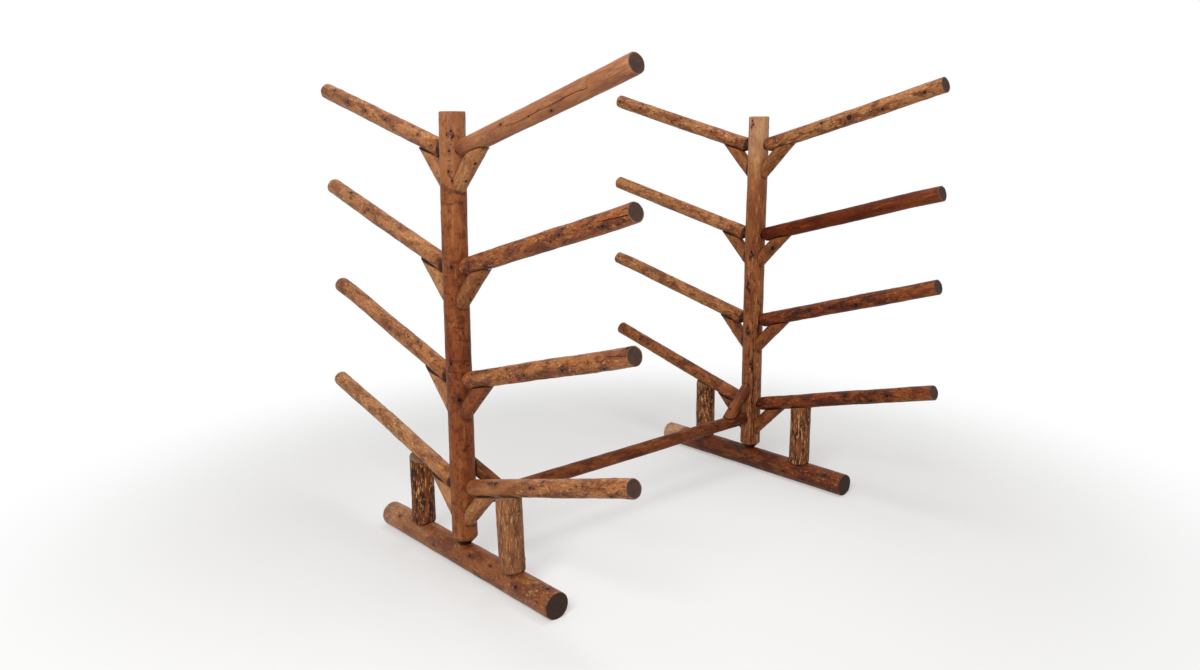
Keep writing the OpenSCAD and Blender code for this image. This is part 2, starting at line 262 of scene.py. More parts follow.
@dataclass(frozen=True)
class Stain:
    """One layer of colour on a log, in patches drawn out along the grain.

    Attributes:
        colour: sRGB hex colour.
        across: Width of a patch in millimetres.
        along: Length of a patch in millimetres.
        low: Level of the noise at which a patch starts.
        high: Level of the noise at which a patch is full.
        strength: Cover of a full patch, from 0 to 1.
        detail: Octaves of smaller noise that fray the patch's edge.
        warp: Twist of the patch's outline.
        proud: Height of the patch over the bare wood in millimetres.
        mottled: Whether the log's own mottle scales the cover.
    """

    colour: str
    across: float
    along: float
    low: float
    high: float
    strength: float = 1.0
    detail: float = 3.0
    warp: float = 0.0
    proud: float = 0.0
    mottled: bool = True

    def spread(self, surface: LogSurface) -> None:
        """Lays the layer on a log's side.

        Args:
            surface: The nodes of the side.
        """
        inputs = {
            "Vector": surface.drawn_out(self.across, self.along),
            "Scale": 1.0,
            "Detail": self.detail,
            "Roughness": 0.6,
            "Distortion": self.warp,
        }
        cover = surface.mask(surface.add("TexNoise", inputs), self.low, self.high, self.strength)
        if self.mottled:
            cover = surface.common(cover, surface.mottle)
        surface.lay(cover, self.colour, self.proud)


@dataclass(frozen=True)
class PeeledLog:
    """Pine or spruce peeled with a drawknife and finished with a brown penetrating stain.

    The knife leaves smooth golden wood and ragged dark scraps of inner bark, and the stain gives a
    satin skin that shows soft broad lights and no sharp reflection. Sizes here are in millimetres.

    Attributes:
        name: Name of the material.
        ground: sRGB hex colour of the plain wood.
        stains: Layers of colour, lowest first.
        fleck: Cover of the pin knots and knife pits, from 0 to 1.
        chatter: Cover of the short dark hooks that the knife leaves, from 0 to 1.
        roughness: Roughness of the stained skin.
        gloss: Level of its reflection.
        knot_dark: sRGB hex colour of knots, pits and hooks.
        smear: sRGB hex colour of the streak that a knot leaves along the grain.
        shade_and_stain_colour: sRGB hex colour of the painted shade in checks, joints and coned shoulders,
            and of the stain that pools there.
    """

    name: str
    ground: str
    stains: tuple[Stain, ...]
    fleck: float = 0.8
    chatter: float = 0.5
    roughness: float = 0.5
    gloss: float = 0.2
    knot_dark: str = "#200e08"
    smear: str = "#4a2414"
    shade_and_stain_colour: str = "#1f0f0a"
    # Sizes of the marks across and along the grain, and their heights and depths
    fibre_across: float = 3.0
    fibre_along: float = 70.0
    fibre_contrast: float = 0.16
    fibre_height: float = 0.3
    pit_size: float = 13.0
    pit_depth: float = 0.6
    hook_across: float = 20.0
    hook_along: float = 26.0
    hook_depth: float = 0.8
    crowd_across: float = 45.0
    crowd_along: float = 90.0
    knot_depth: float = 1.0

    @cached_property
    def material(self) -> Material:
        """The material, made when it is first asked for."""
        surface = LogSurface(self.name, self.ground)
        # Fine fibre, drawn wider than the real 0.5 mm so that it shows from a few steps away
        thread = surface.drawn_out(self.fibre_across, self.fibre_along)
        fibre = surface.add("TexNoise", {"Vector": thread, "Scale": 1.0})
        surface.lift(fibre, self.fibre_height)
        for stain in self.stains:
            stain.spread(surface)
        self.mark_with_knife(surface)
        # Uneven soak from fibre to fibre
        limits = {"From Min": 0.25, "From Max": 0.75}
        shares = {"To Min": 1 - self.fibre_contrast, "To Max": 1 + self.fibre_contrast}
        surface.shade(surface.add("MapRange", {"Value": fibre, **limits, **shares}))
        self.mark_with_knots(surface)
        # The depth to which the stain went in on this log: deeper is darker and redder
        surface.colour = surface.add("Gamma", {"Color": surface.colour, "Gamma": surface.soak})
        # Painted shade in checks, joints and coned shoulders, with the stain that pools there
        surface.lay(surface.joint, self.shade_and_stain_colour)
        limits = {"To Min": self.roughness - 0.1, "To Max": self.roughness + 0.1}
        rough = surface.add("MapRange", {"Value": fibre, **limits})
        return surface.close({"Roughness": rough, "Specular IOR Level": self.gloss}, MM)

    def mark_with_knife(self, surface: LogSurface) -> None:
        """Lays the hooks where the knife stopped, and the pin knots and knife pits.

        Args:
            surface: The nodes of the side.
        """
        add, mask = surface.add, surface.mask
        # Real hooks are 1 to 2 mm wide and are drawn at 3 mm, in loose groups, so that they show
        hook = surface.drawn_out(self.hook_across, self.hook_along)
        bend = add("TexNoise", {"Vector": hook, "Scale": 1.6})
        bent = add("VectorMath", {0: hook, 1: bend.node.outputs["Color"]}, operation="ADD")
        edge = add("TexVoronoi", {"Vector": bent, "Scale": 1.0}, feature="DISTANCE_TO_EDGE")
        patch = surface.drawn_out(self.crowd_across, self.crowd_along)
        region = add("TexNoise", {"Vector": patch, "Scale": 1.0, "Distortion": 0.4})
        broken = surface.common(mask(bend, 0.5, 0.56), mask(region, 0.5, 0.58))
        lip = surface.common(mask(edge, 0.13, 0.05, self.chatter), broken, surface.mottle)
        surface.lay(lip, self.knot_dark, -self.hook_depth)

        # Small dark dots in a part of the cells, more of them in some regions
        pits = surface.drawn_out(self.pit_size, self.pit_size)
        cell = add("TexVoronoi", {"Vector": pits, "Scale": 1.0})
        chance = add("SeparateColor", {"Color": cell.node.outputs["Color"]})
        crowd = add("Math", {0: region, 1: 1.3, 2: chance}, operation="MULTIPLY_ADD")
        dot = surface.common(mask(cell, 0.24, 0.14, self.fleck), mask(crowd, 1.4, 1.44))
        surface.lay(dot, self.knot_dark, -self.pit_depth)

    def mark_with_knots(self, surface: LogSurface) -> None:
        """Lays each knot's smear along the grain, its pale collar and its dark core, frayed by noise.

        Args:
            surface: The nodes of the side.
        """
        add = surface.add
        knot = add("Attribute", output="Vector", attribute_name="knot")
        strength = add("SeparateXYZ", {"Vector": knot}, output="Z")
        fray = add("TexNoise", {"Vector": knot, "Scale": 1.3}, output="Color")
        frayed = add("VectorMath", {0: fray, 1: knot}, operation="ADD")
        centred = add("VectorMath", {0: frayed, 1: (0.5, 0.5, 0.5)}, operation="SUBTRACT")
        for stretch, outer, inner, cover, tint, depth in (
            ((0.75, 0.3, 0.0), 1.6, 0.6, 0.5, self.smear, 0.0),
            ((1.0, 0.8, 0.0), 1.6, 1.15, 0.3, self.ground, 0.0),
            ((1.0, 0.8, 0.0), 1.15, 0.7, 0.95, self.knot_dark, self.knot_depth),
        ):
            ringed = add("VectorMath", {0: centred, 1: stretch}, operation="MULTIPLY")
            distance = add("VectorMath", {0: ringed}, operation="LENGTH")
            surface.lay(surface.common(surface.mask(distance, outer, inner, cover), strength), tint, -depth)


@dataclass(frozen=True)
class EndGrain:
    """Saw-cut end grain that has drunk the stain.

    Open pores take up far more stain than the side of a log, so the disc is a dull grey brown with
    faint rings, a few short radial checks and a slightly paler rim.

    Attributes:
        name: Name of the material.
        heart: sRGB hex colour of the middle.
        ring: sRGB hex colour of the late wood.
        rim: sRGB hex colour of the rounded edge.
        radius: Radius of the disc.
        crack: sRGB hex colour of the radial checks.
        ring_spacing: Distance between rings.
        cloud_size: Width of a patch that drank more or less stain.
        pore_size: Width of a pore.
        pore_depth: Depth of a pore.
        roughness: Roughness of the sawn face.
        gloss: Level of its reflection.
    """

    name: str
    heart: str
    ring: str
    rim: str
    radius: float
    crack: str = "#1d120e"
    ring_spacing: float = 5 * MM
    cloud_size: float = 22 * MM
    pore_size: float = 2.5 * MM
    pore_depth: float = 0.6 * MM
    roughness: float = 0.8
    gloss: float = 0.2

    @cached_property
    def material(self) -> Material:
        """The material, made when it is first asked for, which reads the log's own attribute grain."""
        surface = Surface(self.name, self.heart)
        add = surface.add
        grain = add("Attribute", output="Vector", attribute_name="grain")
        flat = add("VectorMath", {0: grain, 1: (1.0, 1.0, 0.0)}, operation="MULTIPLY")
        radius = add("VectorMath", {0: flat}, operation="LENGTH")
        blur = {"Vector": grain, "Scale": 1 / self.cloud_size, "Detail": 4.0, "Roughness": 0.6}
        cloud = add("TexNoise", blur)
        # Rings of a slow-grown log are 1 to 2 mm apart; drawn at 5 mm so that they show
        swell = add("Math", {0: cloud, 1: 9.0}, operation="MULTIPLY")
        pitch = 2 * math.pi / self.ring_spacing
        turns = add("Math", {0: radius, 1: pitch, 2: swell}, operation="MULTIPLY_ADD")
        wave = add("Math", {0: turns}, operation="SINE")
        late = {"Value": wave, "From Min": -1.0, "From Max": 1.0, "To Max": 0.45}
        surface.lay(add("MapRange", late), self.ring)
        edge = {"Value": radius, "From Min": self.radius - 5 * MM, "From Max": self.radius, "To Max": 0.8}
        surface.lay(add("MapRange", edge), self.rim)
        soak = {"Value": cloud, "From Min": 0.3, "From Max": 0.7, "To Min": 0.72, "To Max": 1.22}
        surface.shade(add("MapRange", soak))
        # Radial drying checks: noise read round the heart and not along it
        spokes = add("VectorMath", {0: flat}, operation="NORMALIZE")
        star = add("TexNoise", {"Vector": spokes, "Scale": 3.2})
        split = {"Value": star, "From Min": 0.66, "From Max": 0.69, "To Max": 0.8}
        surface.lay(add("MapRange", split), self.crack)
        surface.lift(add("TexNoise", {"Vector": grain, "Scale": 1 / self.pore_size}), 1.0)
        return surface.close({"Roughness": self.roughness, "Specular IOR Level": self.gloss}, self.pore_depth)


@dataclass(frozen=True)
class ZincSteel:
    """Zinc-plated steel of the screws, rolled and tumbled, with a dull grey spangle.

    Attributes:
        name: Name of the material.
        bright: sRGB hex colour of the bright crystals.
        dull: sRGB hex colour of the dull crystals.
        roughness: Roughness of the bright crystals.
        dulling: How much rougher the dull ones are.
        spangle_size: Width of a crystal.
    """

    name: str = "zinc_plated_steel"
    bright: str = "#a7a59e"
    dull: str = "#7d7a74"
    roughness: float = 0.38
    dulling: float = 0.2
    spangle_size: float = 3 * MM

    @cached_property
    def material(self) -> Material:
        """The material, made when it is first asked for, which reads Object coordinates."""
        surface = Surface(self.name, self.dull)
        place = surface.add("TexCoord", output="Object")
        crystals = {"Vector": place, "Scale": 1 / self.spangle_size, "Detail": 4.0}
        spangle = surface.add("TexNoise", crystals)
        surface.lay(spangle, self.bright)
        limits = {"Value": spangle, "To Min": self.roughness, "To Max": self.roughness + self.dulling}
        return surface.close({"Roughness": surface.add("MapRange", limits), "Metallic": 1.0})


# Soft brown clouds, honey patches and ragged dark scraps, which the two kinds of post share
POST_STAINS = (
    Stain("#864f34", 60, 130, 0.44, 0.62, 0.7, detail=5, warp=0.3, mottled=False),
    Stain("#ba8758", 30, 110, 0.50, 0.68, 0.6, detail=5, warp=0.3, mottled=False),
    Stain("#6b3826", 22, 34, 0.54, 0.64, 0.8, detail=6, warp=0.5),
    Stain("#4a2416", 7, 13, 0.59, 0.65, 0.9, detail=5, warp=0.6),
)
# Pine peeled clean, with a satin skin, and dark bands where the branches grew in whorls
POST_FINISH = PeeledLog(
    name="banded_pine_post",
    ground="#a06a43",
    stains=(*POST_STAINS, Stain("#5a2c1d", 90, 26, 0.54, 0.68, 0.8, detail=4, warp=0.5)),
    fleck=0.9,
    chatter=0.25,
    roughness=0.46,
    gloss=0.15,
    pit_size=9.0,
)
# The same pine scored lengthwise by the knife: long dark and cream streaks
STREAKED_POST_FINISH = replace(
    POST_FINISH,
    name="streaked_pine_post",
    stains=(
        *POST_STAINS,
        Stain("#44200f", 11, 110, 0.59, 0.65, 0.8, detail=4, warp=0.3),
        Stain("#dcb383", 7, 80, 0.60, 0.66, 0.85, detail=4, warp=0.3, proud=-0.3),
    ),
)
# Pine peeled clean and well stained: broad soft tones and few marks, nearly without shine
SMOOTH_ARM_FINISH = PeeledLog(
    name="stained_pine_smooth_arm",
    ground="#9a6443",
    stains=(
        Stain("#80503b", 50, 150, 0.44, 0.62, 0.75, detail=5, warp=0.3, mottled=False),
        Stain("#b98458", 20, 120, 0.53, 0.69, 0.6, detail=4, warp=0.2, mottled=False),
        Stain("#5e3020", 14, 34, 0.57, 0.65, 0.8, detail=6, warp=0.5),
    ),
    chatter=0.15,
    gloss=0.08,
    pit_size=11.0,
)
# Pine peeled in skips: scraps of brown inner bark stand proud, with pale bites of the knife between
ARM_FINISH = PeeledLog(
    name="skip_peeled_pine_arm",
    ground="#a97246",
    stains=(
        Stain("#8a5531", 60, 180, 0.42, 0.62, 0.6, mottled=False),
        Stain("#d3a677", 7, 24, 0.54, 0.62, 0.8, detail=4, warp=0.6, proud=-0.3),
        Stain("#59301a", 9, 20, 0.58, 0.63, 0.8, detail=5, warp=0.8, proud=0.3),
        Stain("#7d482a", 34, 90, 0.51, 0.55, 0.95, detail=6, warp=0.5, proud=0.4),
        Stain("#452210", 22, 50, 0.58, 0.66, 0.8, detail=6, warp=0.5),
    ),
    fleck=0.7,
    chatter=0.85,
    roughness=0.52,
)
# Young pine peeled clean: warm brown, crowded with small dark flecks and pits
BRACE_FINISH = PeeledLog(
    name="stained_pine_brace",
    ground="#a57044",
    stains=(
        Stain("#85522f", 36, 80, 0.44, 0.60, 0.75, detail=5, warp=0.3, mottled=False),
        Stain("#c4935f", 14, 40, 0.54, 0.66, 0.55, detail=5, warp=0.4),
        Stain("#6a3a28", 16, 26, 0.55, 0.63, 0.8, detail=6, warp=0.6),
        Stain("#42200f", 6, 10, 0.60, 0.65, 0.9, detail=5, warp=0.6, proud=-0.3),
    ),
    fleck=0.95,
    chatter=0.4,
    pit_size=9.0,
)
# Pine peeled roughly: dark ridges of inner bark and pale slivers, with the dullest skin
PROP_FINISH = PeeledLog(
    name="rough_peeled_pine_prop",
    ground="#925f3c",
    stains=(
        Stain("#754629", 50, 150, 0.42, 0.60, 0.8, mottled=False),
        Stain("#472717", 24, 80, 0.50, 0.58, 0.9, detail=6, warp=0.5, proud=0.4),
        Stain("#d8ab78", 5.5, 38, 0.56, 0.62, 0.95, detail=3, warp=0.4, proud=-0.5),
    ),
    fleck=0.9,
    chatter=0.3,
    roughness=0.6,
)
# Pine that has lain in the damp: deep brown with greyer patches, and pale scuffs
BASE_FINISH = PeeledLog(
    name="stained_pine_base_log",
    ground="#925a35",
    stains=(
        Stain("#704029", 70, 120, 0.44, 0.58, 0.85, detail=5, warp=0.3, mottled=False),
        Stain("#ac7d4c", 40, 90, 0.52, 0.64, 0.7, detail=5, warp=0.4, mottled=False),
        Stain("#553530", 44, 90, 0.55, 0.66, 0.8, detail=5, warp=0.4),
        Stain("#cda06e", 8, 20, 0.58, 0.65, 0.85, detail=5, warp=0.6, proud=-0.3),
        Stain("#341a12", 12, 26, 0.60, 0.66, 0.85, detail=6, warp=0.6),
    ),
    fleck=0.9,
    chatter=0.6,
    pit_size=11.0,
)
# Pine that drank much stain: the deepest brown, partly a painted shade, and little shine
RAIL_FINISH = PeeledLog(
    name="stained_pine_rail",
    ground="#8a5533",
    stains=(
        Stain("#653620", 50, 160, 0.44, 0.60, 0.8, mottled=False),
        Stain("#b48352", 14, 70, 0.56, 0.66, 0.7, detail=4, warp=0.4),
        Stain("#3f1e12", 18, 44, 0.58, 0.64, 0.8, detail=6, warp=0.6, proud=0.3),
    ),
    fleck=0.7,
    chatter=0.4,
    gloss=0.1,
)
# Saw-cut ends: dull grey brown discs with faint rings, paler where less stain was drunk
ARM_END = EndGrain("sawn_end_grain", heart="#4d372e", ring="#3c2820", rim="#8a7468", radius=0.0342)
POST_END = replace(ARM_END, name="sawn_end_grain_of_posts", radius=0.049)
# The props' sawn ends are paler, partly a painted highlight of their lit tops
PROP_END = EndGrain("sawn_end_grain_of_props", heart="#93745a", ring="#775a44", rim="#a68b70", radius=0.052)
BASE_END = EndGrain(
    "sawn_end_grain_of_base_logs", heart="#3b2a24", ring="#2a1d18", rim="#5f524c", radius=0.055
)


# ---------------------------------------------------------------------------------------------------
# Modelling


def take(obj: Object, *others: Object) -> None:
    """Selects an object, and any others, and nothing else, and makes the first one active."""
    bpy.ops.object.select_all(action="DESELECT")
    for each in (obj, *others):
        each.select_set(True)
    bpy.context.view_layer.objects.active = obj


def choose(obj: Object, kind: str, test: Callable[[BMVert], bool]) -> None:
    """Selects what passes a test, in edit mode.

    Args:
        obj: The object being edited.
        kind: "verts", "edges" or "faces".
        test: Says of one vertex, edge or face whether it is wanted.
    """
    bpy.ops.mesh.select_all(action="DESELECT")
    bpy.ops.mesh.select_mode(type={"verts": "VERT", "edges": "EDGE", "faces": "FACE"}[kind])
    shape = bmesh.from_edit_mesh(obj.data)
    for each in getattr(shape, kind):
        if test(each):
            each.select_set(True)
    bmesh.update_edit_mesh(obj.data, loop_triangles=False, destructive=False)


def points(mesh: Mesh) -> np.ndarray:
    """The places of a mesh's vertices, one row each."""
    flat = np.empty(len(mesh.vertices) * 3, np.float32)
    mesh.vertices.foreach_get("co", flat)
    return flat.reshape(-1, 3).astype(float)


def moved(places: np.ndarray, matrix: Matrix) -> np.ndarray:
    """Places after a matrix."""
    m = np.array(matrix)
    return places @ m[:3, :3].T + m[:3, 3]


def fade(values: np.ndarray, full: float, gone: float) -> np.ndarray:
    """A smooth fall from 1 at full to 0 at gone."""
    t = np.clip((values - gone) / (full - gone), 0, 1)
    return t * t * (3 - 2 * t)


def apply_modifier(obj: Object, kind: str, **settings: object) -> None:
    """Gives the active object a modifier and applies it at once."""
    modifier = obj.modifiers.new(kind.lower(), kind)
    for key, value in settings.items():
        setattr(modifier, key, value)
    bpy.ops.object.modifier_apply(modifier=modifier.name)


def turned_cutter(placement: Matrix, start: float, end: float, radius: float, end_r: float = 0.0) -> Object:
    """Makes a round cutter along the placement's Z.

    Args:
        placement: The cutter's frame.
        start: Place of its lower end.
        end: Place of its upper end.
        radius: Radius of its lower end.
        end_r: Radius of its upper end, or 0 where it's the same.

    Returns:
        The cutter.
    """
    bpy.ops.object.select_all(action="DESELECT")
    middle = (0, 0, (start + end) / 2)
    bpy.ops.mesh.primitive_cone_add(
        vertices=48, radius1=radius, radius2=end_r or radius, depth=end - start, location=middle
    )
    return settled(bpy.context.active_object, placement)


def stepped_cutter(placement: Matrix, shank_l: float, shank_r: float, head_r: float) -> Object:
    """Makes the cutter for a screw: a counterbore below the placement's origin and a pilot above it.

    Args:
        placement: The screw's frame: the head's seat at the origin and the shank along Z.
        shank_l: Length of the shank.
        shank_r: Radius of the shank.
        head_r: Radius of the head.

    Returns:
        The cutter.
    """
    run, relief, fit = 60 * MM, 1 * MM, 0.2 * MM
    bpy.ops.object.select_all(action="DESELECT")
    bpy.ops.mesh.primitive_cylinder_add(
        vertices=32, radius=head_r + fit, depth=run, location=(0, 0, -run / 2)
    )
    cutter = settled(bpy.context.active_object, Matrix.Identity(4))
    bpy.ops.object.mode_set(mode="EDIT")
    choose(cutter, "faces", lambda f: f.normal.z > 0.9)
    bpy.ops.mesh.inset(thickness=head_r - shank_r)
    bpy.ops.mesh.extrude_region_move(TRANSFORM_OT_translate={"value": (0, 0, shank_l + relief)})
    bpy.ops.object.mode_set(mode="OBJECT")
    return settled(cutter, placement)


def settled(obj: Object, placement: Matrix) -> Object:
    """Puts a placement, and the object's own, into its mesh."""
    bpy.context.view_layer.update()
    obj.matrix_world = placement @ obj.matrix_world
    take(obj)
    bpy.ops.object.transform_apply(location=True, rotation=True, scale=True)
    return obj


def cut_away(log: Object, *cutters: Object) -> None:
    """Takes cutters that don't touch each other out of a log, and throws them away."""
    take(*cutters)
    if len(cutters) > 1:
        bpy.ops.object.join()
    tool = bpy.context.active_object
    take(log)
    apply_modifier(log, "BOOLEAN", operation="DIFFERENCE", solver="MANIFOLD", object=tool)
    bpy.data.meshes.remove(tool.data)


@dataclass(frozen=True)
class Relief:
    """One layer of unevenness, pressed into a log by a Displace modifier.

    Attributes:
        texture: Blender's name for the procedural texture.
        across: Width of a lump.
        along: Length of a lump.
        depth: Height from the lowest to the highest the texture can give.
        way: Direction in which the surface moves.
        group: Vertex group that scales the layer.
        detail: Octaves of smaller noise.
    """

    texture: str
    across: float
    along: float
    depth: float
    way: Way = Way.OUT
    group: Group = Group.BODY
    detail: int = 2

    def press(self, log: Object, seed: int) -> None:
        """Presses the layer into a log that lies along its own Z.

        Args:
            log: The log.
            seed: Moves the texture along the log, so that no two logs are alike.
        """
        texture = bpy.data.textures.new("relief", self.texture)
        texture.noise_scale = 1.0
        if self.texture == "CLOUDS":
            texture.noise_depth = self.detail
            texture.cloud_type = "COLOR" if self.way is Way.ALL else "GRAYSCALE"
        else:
            texture.distance_metric = "DISTANCE_SQUARED"
        guide = bpy.data.objects.new("guide", None)
        bpy.context.scene.collection.objects.link(guide)
        guide.scale = (self.across, self.across, self.along)
        guide.location = (0.31 * seed, 0.17 * seed, 5.3 * seed)
        bpy.context.view_layer.update()
        take(log)
        apply_modifier(
            log,
            "DISPLACE",
            texture=texture,
            texture_coords="OBJECT",
            texture_coords_object=guide,
            direction=self.way.value,
            strength=self.depth,
            mid_level=0.5,
            vertex_group=self.group.value,
        )
        bpy.data.objects.remove(guide)
        bpy.data.textures.remove(texture)


@dataclass(frozen=True)
class Knot:
    """A knot on a log.

    Attributes:
        angle: Angle round the log's axis from its own X.
        z: Place along the log.
        radius: Radius of the dark core.
        strength: How dark the core is, from 0 to 1.
    """

    angle: float
    z: float
    radius: float
    strength: float = 1.0


@dataclass(frozen=True)
class Check:
    """A drying check: a long split in the side of a log.

    Attributes:
        angle: Angle round the log's axis at its first end.
        z: Place along the log of its first end.
        far_angle: Angle at its far end.
        far_z: Place along the log of its far end.
        width: Width at the surface.
        depth: Depth.
        wander: How far the line strays to each side, in long edges of the mesh.
        wave: Length along the log in which it strays.
    """

    angle: float
    z: float
    far_angle: float
    far_z: float
    width: float
    depth: float = 5 * MM
    wander: float = 1.4
    wave: float = 0.045

    @property
    def twist(self) -> float:
        """Angle that the fibre turns through in a metre."""
        turn = (self.far_angle - self.angle + math.pi) % (2 * math.pi) - math.pi
        return turn / (self.far_z - self.z)


@dataclass(frozen=True)
class Tenon:
    """A turned tenon with a coned shoulder at one end of a log.

    Attributes:
        neck: Place along the log where the cone meets the tenon.
        tip: Place along the log of the tenon's end.
        radius: Radius of the tenon.
        ease: Rounding of the shoulder's edge.
        pale: Share of the cone, from its wide end, that has no painted shade.
    """

    neck: float
    tip: float
    radius: float
    ease: float = 6 * MM
    pale: float = 0.6


@dataclass(frozen=True)
class Mitre:
    """A flat saw cut that takes off one end of a log at a slant.

    Attributes:
        place: A point on the cut.
        outward: Direction from the log to its waste.
    """

    place: Vector
    outward: Vector

    def past(self, places: np.ndarray) -> np.ndarray:
        """How far places lie past the cut, on the waste's side."""
        return (places - np.array(self.place)) @ np.array(self.outward)

    def saw(self, log: Object) -> None:
        """Saws the waste off a log that is in place, and closes the cut."""
        take(log)
        bpy.ops.object.mode_set(mode="EDIT")
        bpy.ops.mesh.select_all(action="SELECT")
        bpy.ops.mesh.bisect(
            plane_co=self.place, plane_no=self.outward, use_fill=True, clear_outer=True, threshold=1e-6
        )
        bpy.ops.mesh.select_all(action="SELECT")
        bpy.ops.mesh.normals_make_consistent(inside=False)
        bpy.ops.object.mode_set(mode="OBJECT")


SMOOTH_RELIEF = (
    Relief("CLOUDS", 0.060, 0.30, 3.0 * MM),
    Relief("CLOUDS", 0.024, 0.16, 1.1 * MM),
    Relief("CLOUDS", 0.030, 0.05, 2.0 * MM, way=Way.ALL),
)
PEELED_RELIEF = (
    Relief("CLOUDS", 0.060, 0.24, 3.6 * MM),
    Relief("VORONOI", 0.026, 0.11, 1.6 * MM),
    Relief("CLOUDS", 0.012, 0.035, 1.3 * MM, detail=3),
    Relief("CLOUDS", 0.030, 0.05, 2.0 * MM, way=Way.ALL),
)
ROUGH_RELIEF = (
    Relief("CLOUDS", 0.070, 0.22, 4.0 * MM),
    Relief("VORONOI", 0.022, 0.12, 2.6 * MM),
    Relief("CLOUDS", 0.009, 0.045, 3.0 * MM, detail=3),
)
BOW = (
    Relief("CLOUDS", 4.0, 0.5, 9 * MM, way=Way.ACROSS_X, group=Group.FREE, detail=0),
    Relief("CLOUDS", 3.0, 0.4, 8 * MM, way=Way.ACROSS_Y, group=Group.FREE, detail=0),
)


@dataclass
class Log:
    """One peeled log: a turned body along its own Z, made uneven, placed, and cut to fit.

    Attributes:
        node: CAD node that the log stands for.
        slot: Name of a material slot for the log; not used.
        finish: Finish of the side.
        placement: Where the log's own frame lies.
        start: Place along the log where the full body begins.
        end: Place along the log where it ends.
        start_r: Radius at the start.
        end_r: Radius at the end.
        reliefs: Layers of unevenness.
        root: Tenon at the start, if it has one.
        tail: Tenon at the end, if it has one.
        start_bevel: Bevel on a sawn start.
        end_bevel: Bevel on a sawn end.
        sides: Number of sides.
        ring: Wanted distance between rings of vertices.
        mottle: Shares of the length and how ragged the stain is there.
        soak: Shares of the length and how deep the stain went in there, where 1 is as written; on some logs
            it also holds painted shade and a painted sheen.
        knots: Knots, of which more are scattered at random.
        checks: Drying checks; the first one sets the twist of the fibre.
        scatter: Knots to scatter in a metre of log.
        cone_shade: How dark the painted shade on the coned shoulder is.
        sway: Place along the log and move along X, in metres, of points on its grown curve.
        mitres: Slanting saw cuts.
        end_finish: Finish of the saw cuts, mortises and bores.
        knot_swell: How far the wood swells round a knot.
        plain_twist: Most that the fibre of a log without checks twists in a metre.
        neighbours: Logs that touch this one, near which shade is painted and stain pools.
        obj: The log's object, once it is modelled.
    """

    node: str
    slot: str
    finish: PeeledLog
    placement: Matrix
    start: float
    end: float
    start_r: float
    end_r: float
    reliefs: tuple[Relief, ...] = SMOOTH_RELIEF
    root: Tenon | None = None
    tail: Tenon | None = None
    start_bevel: float = 3 * MM
    end_bevel: float = 3 * MM
    sides: int = 64
    ring: float = 9 * MM
    mottle: Profile = ((0.0, 0.6),)
    soak: Profile = ((0.0, 1.0),)
    knots: list[Knot] = field(default_factory=list)
    checks: list[Check] = field(default_factory=list)
    scatter: float = 12.0
    cone_shade: float = 0.85
    sway: Profile = ()
    mitres: list[Mitre] = field(default_factory=list)
    end_finish: EndGrain = ARM_END
    knot_swell: float = 1.5 * MM
    plain_twist: float = 0.25
    neighbours: list["Log"] = field(default_factory=list)
    obj: Object | None = None

    def radius_at(self, z: np.ndarray | float) -> np.ndarray | float:
        """The nominal radius at a place along the body, which runs on past its ends."""
        return self.start_r + (self.end_r - self.start_r) * (z - self.start) / (self.end - self.start)

    @property
    def seed(self) -> int:
        """A number of the log's own, from its place among the CAD nodes."""
        return sorted(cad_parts).index(self.node)

    @property
    def tenons(self) -> list[tuple[Tenon, float]]:
        """The log's tenons, each with the place where the full body ends."""
        return [(tenon, edge) for tenon, edge in ((self.root, self.start), (self.tail, self.end)) if tenon]

    def model(self) -> None:
        """Makes the log uneven and places it, not yet cut to fit."""
        rng = random.Random(self.seed)
        VIEW.mark(self)
        self.scatter_knots(rng)
        self.obj = self.turn()
        self.obj.name = self.obj.data.name = self.node + "_log"
        for check in self.checks:
            self.split(check)
        twist = self.checks[0].twist if self.checks else rng.uniform(-self.plain_twist, self.plain_twist)
        self.spiral(twist)
        self.weigh()
        for number, relief in enumerate(self.reliefs):
            relief.press(self.obj, self.seed * len(self.reliefs) + number + 1)
        take(self.obj)
        most = max((x for _, x in self.sway), key=abs, default=0.0)
        for group, way, depth in ((Group.KNOTS, Way.OUT, self.knot_swell), (Group.SWAY, Way.ACROSS_X, most)):
            if depth:
                settings = {"direction": way.value, "strength": depth, "vertex_group": group.value}
                apply_modifier(self.obj, "DISPLACE", mid_level=0.0, **settings)
        settled(self.obj, self.placement)
        for mitre in self.mitres:
            mitre.saw(self.obj)

    def turn(self) -> Object:
        """Turns the smooth body, with its tenons, bevels and sawn ends.

        Returns:
            The body, along its own Z.
        """
        length = self.end - self.start
        bpy.ops.object.select_all(action="DESELECT")
        bpy.ops.mesh.primitive_cylinder_add(
            vertices=self.sides, radius=self.start_r, depth=length, location=(0, 0, self.start + length / 2)
        )
        blank = settled(bpy.context.active_object, Matrix.Identity(4))
        bpy.ops.object.mode_set(mode="EDIT")
        choose(blank, "verts", lambda v: v.co.z > self.end - EPS)
        taper = self.end_r / self.start_r
        bpy.ops.transform.resize(value=(taper, taper, 1), center_override=(0, 0, self.end))
        self.end_off(blank, self.start, self.start_r, self.root, self.start_bevel)
        self.end_off(blank, self.end, self.end_r, self.tail, self.end_bevel)
        # The long edges of the body are cut into rings, in two rounds where one would need too many
        rings, most_cuts = max(2, round(length / self.ring)), 100
        rounds = [rings - 1] if rings <= most_cuts else [math.isqrt(rings) - 1] * 2
        for cuts in rounds:
            choose(blank, "edges", self.is_long_edge)
            bpy.ops.mesh.subdivide(number_cuts=cuts)
        bpy.ops.object.mode_set(mode="OBJECT")
        return blank

    def is_long_edge(self, edge: BMEdge) -> bool:
        """Whether an edge of the blank runs along the body's side."""
        low, high = sorted(v.co.z for v in edge.verts)
        inside = low > self.start - EPS and high < self.end + EPS
        longest_bevel = 4 * MM
        return inside and high - low > longest_bevel

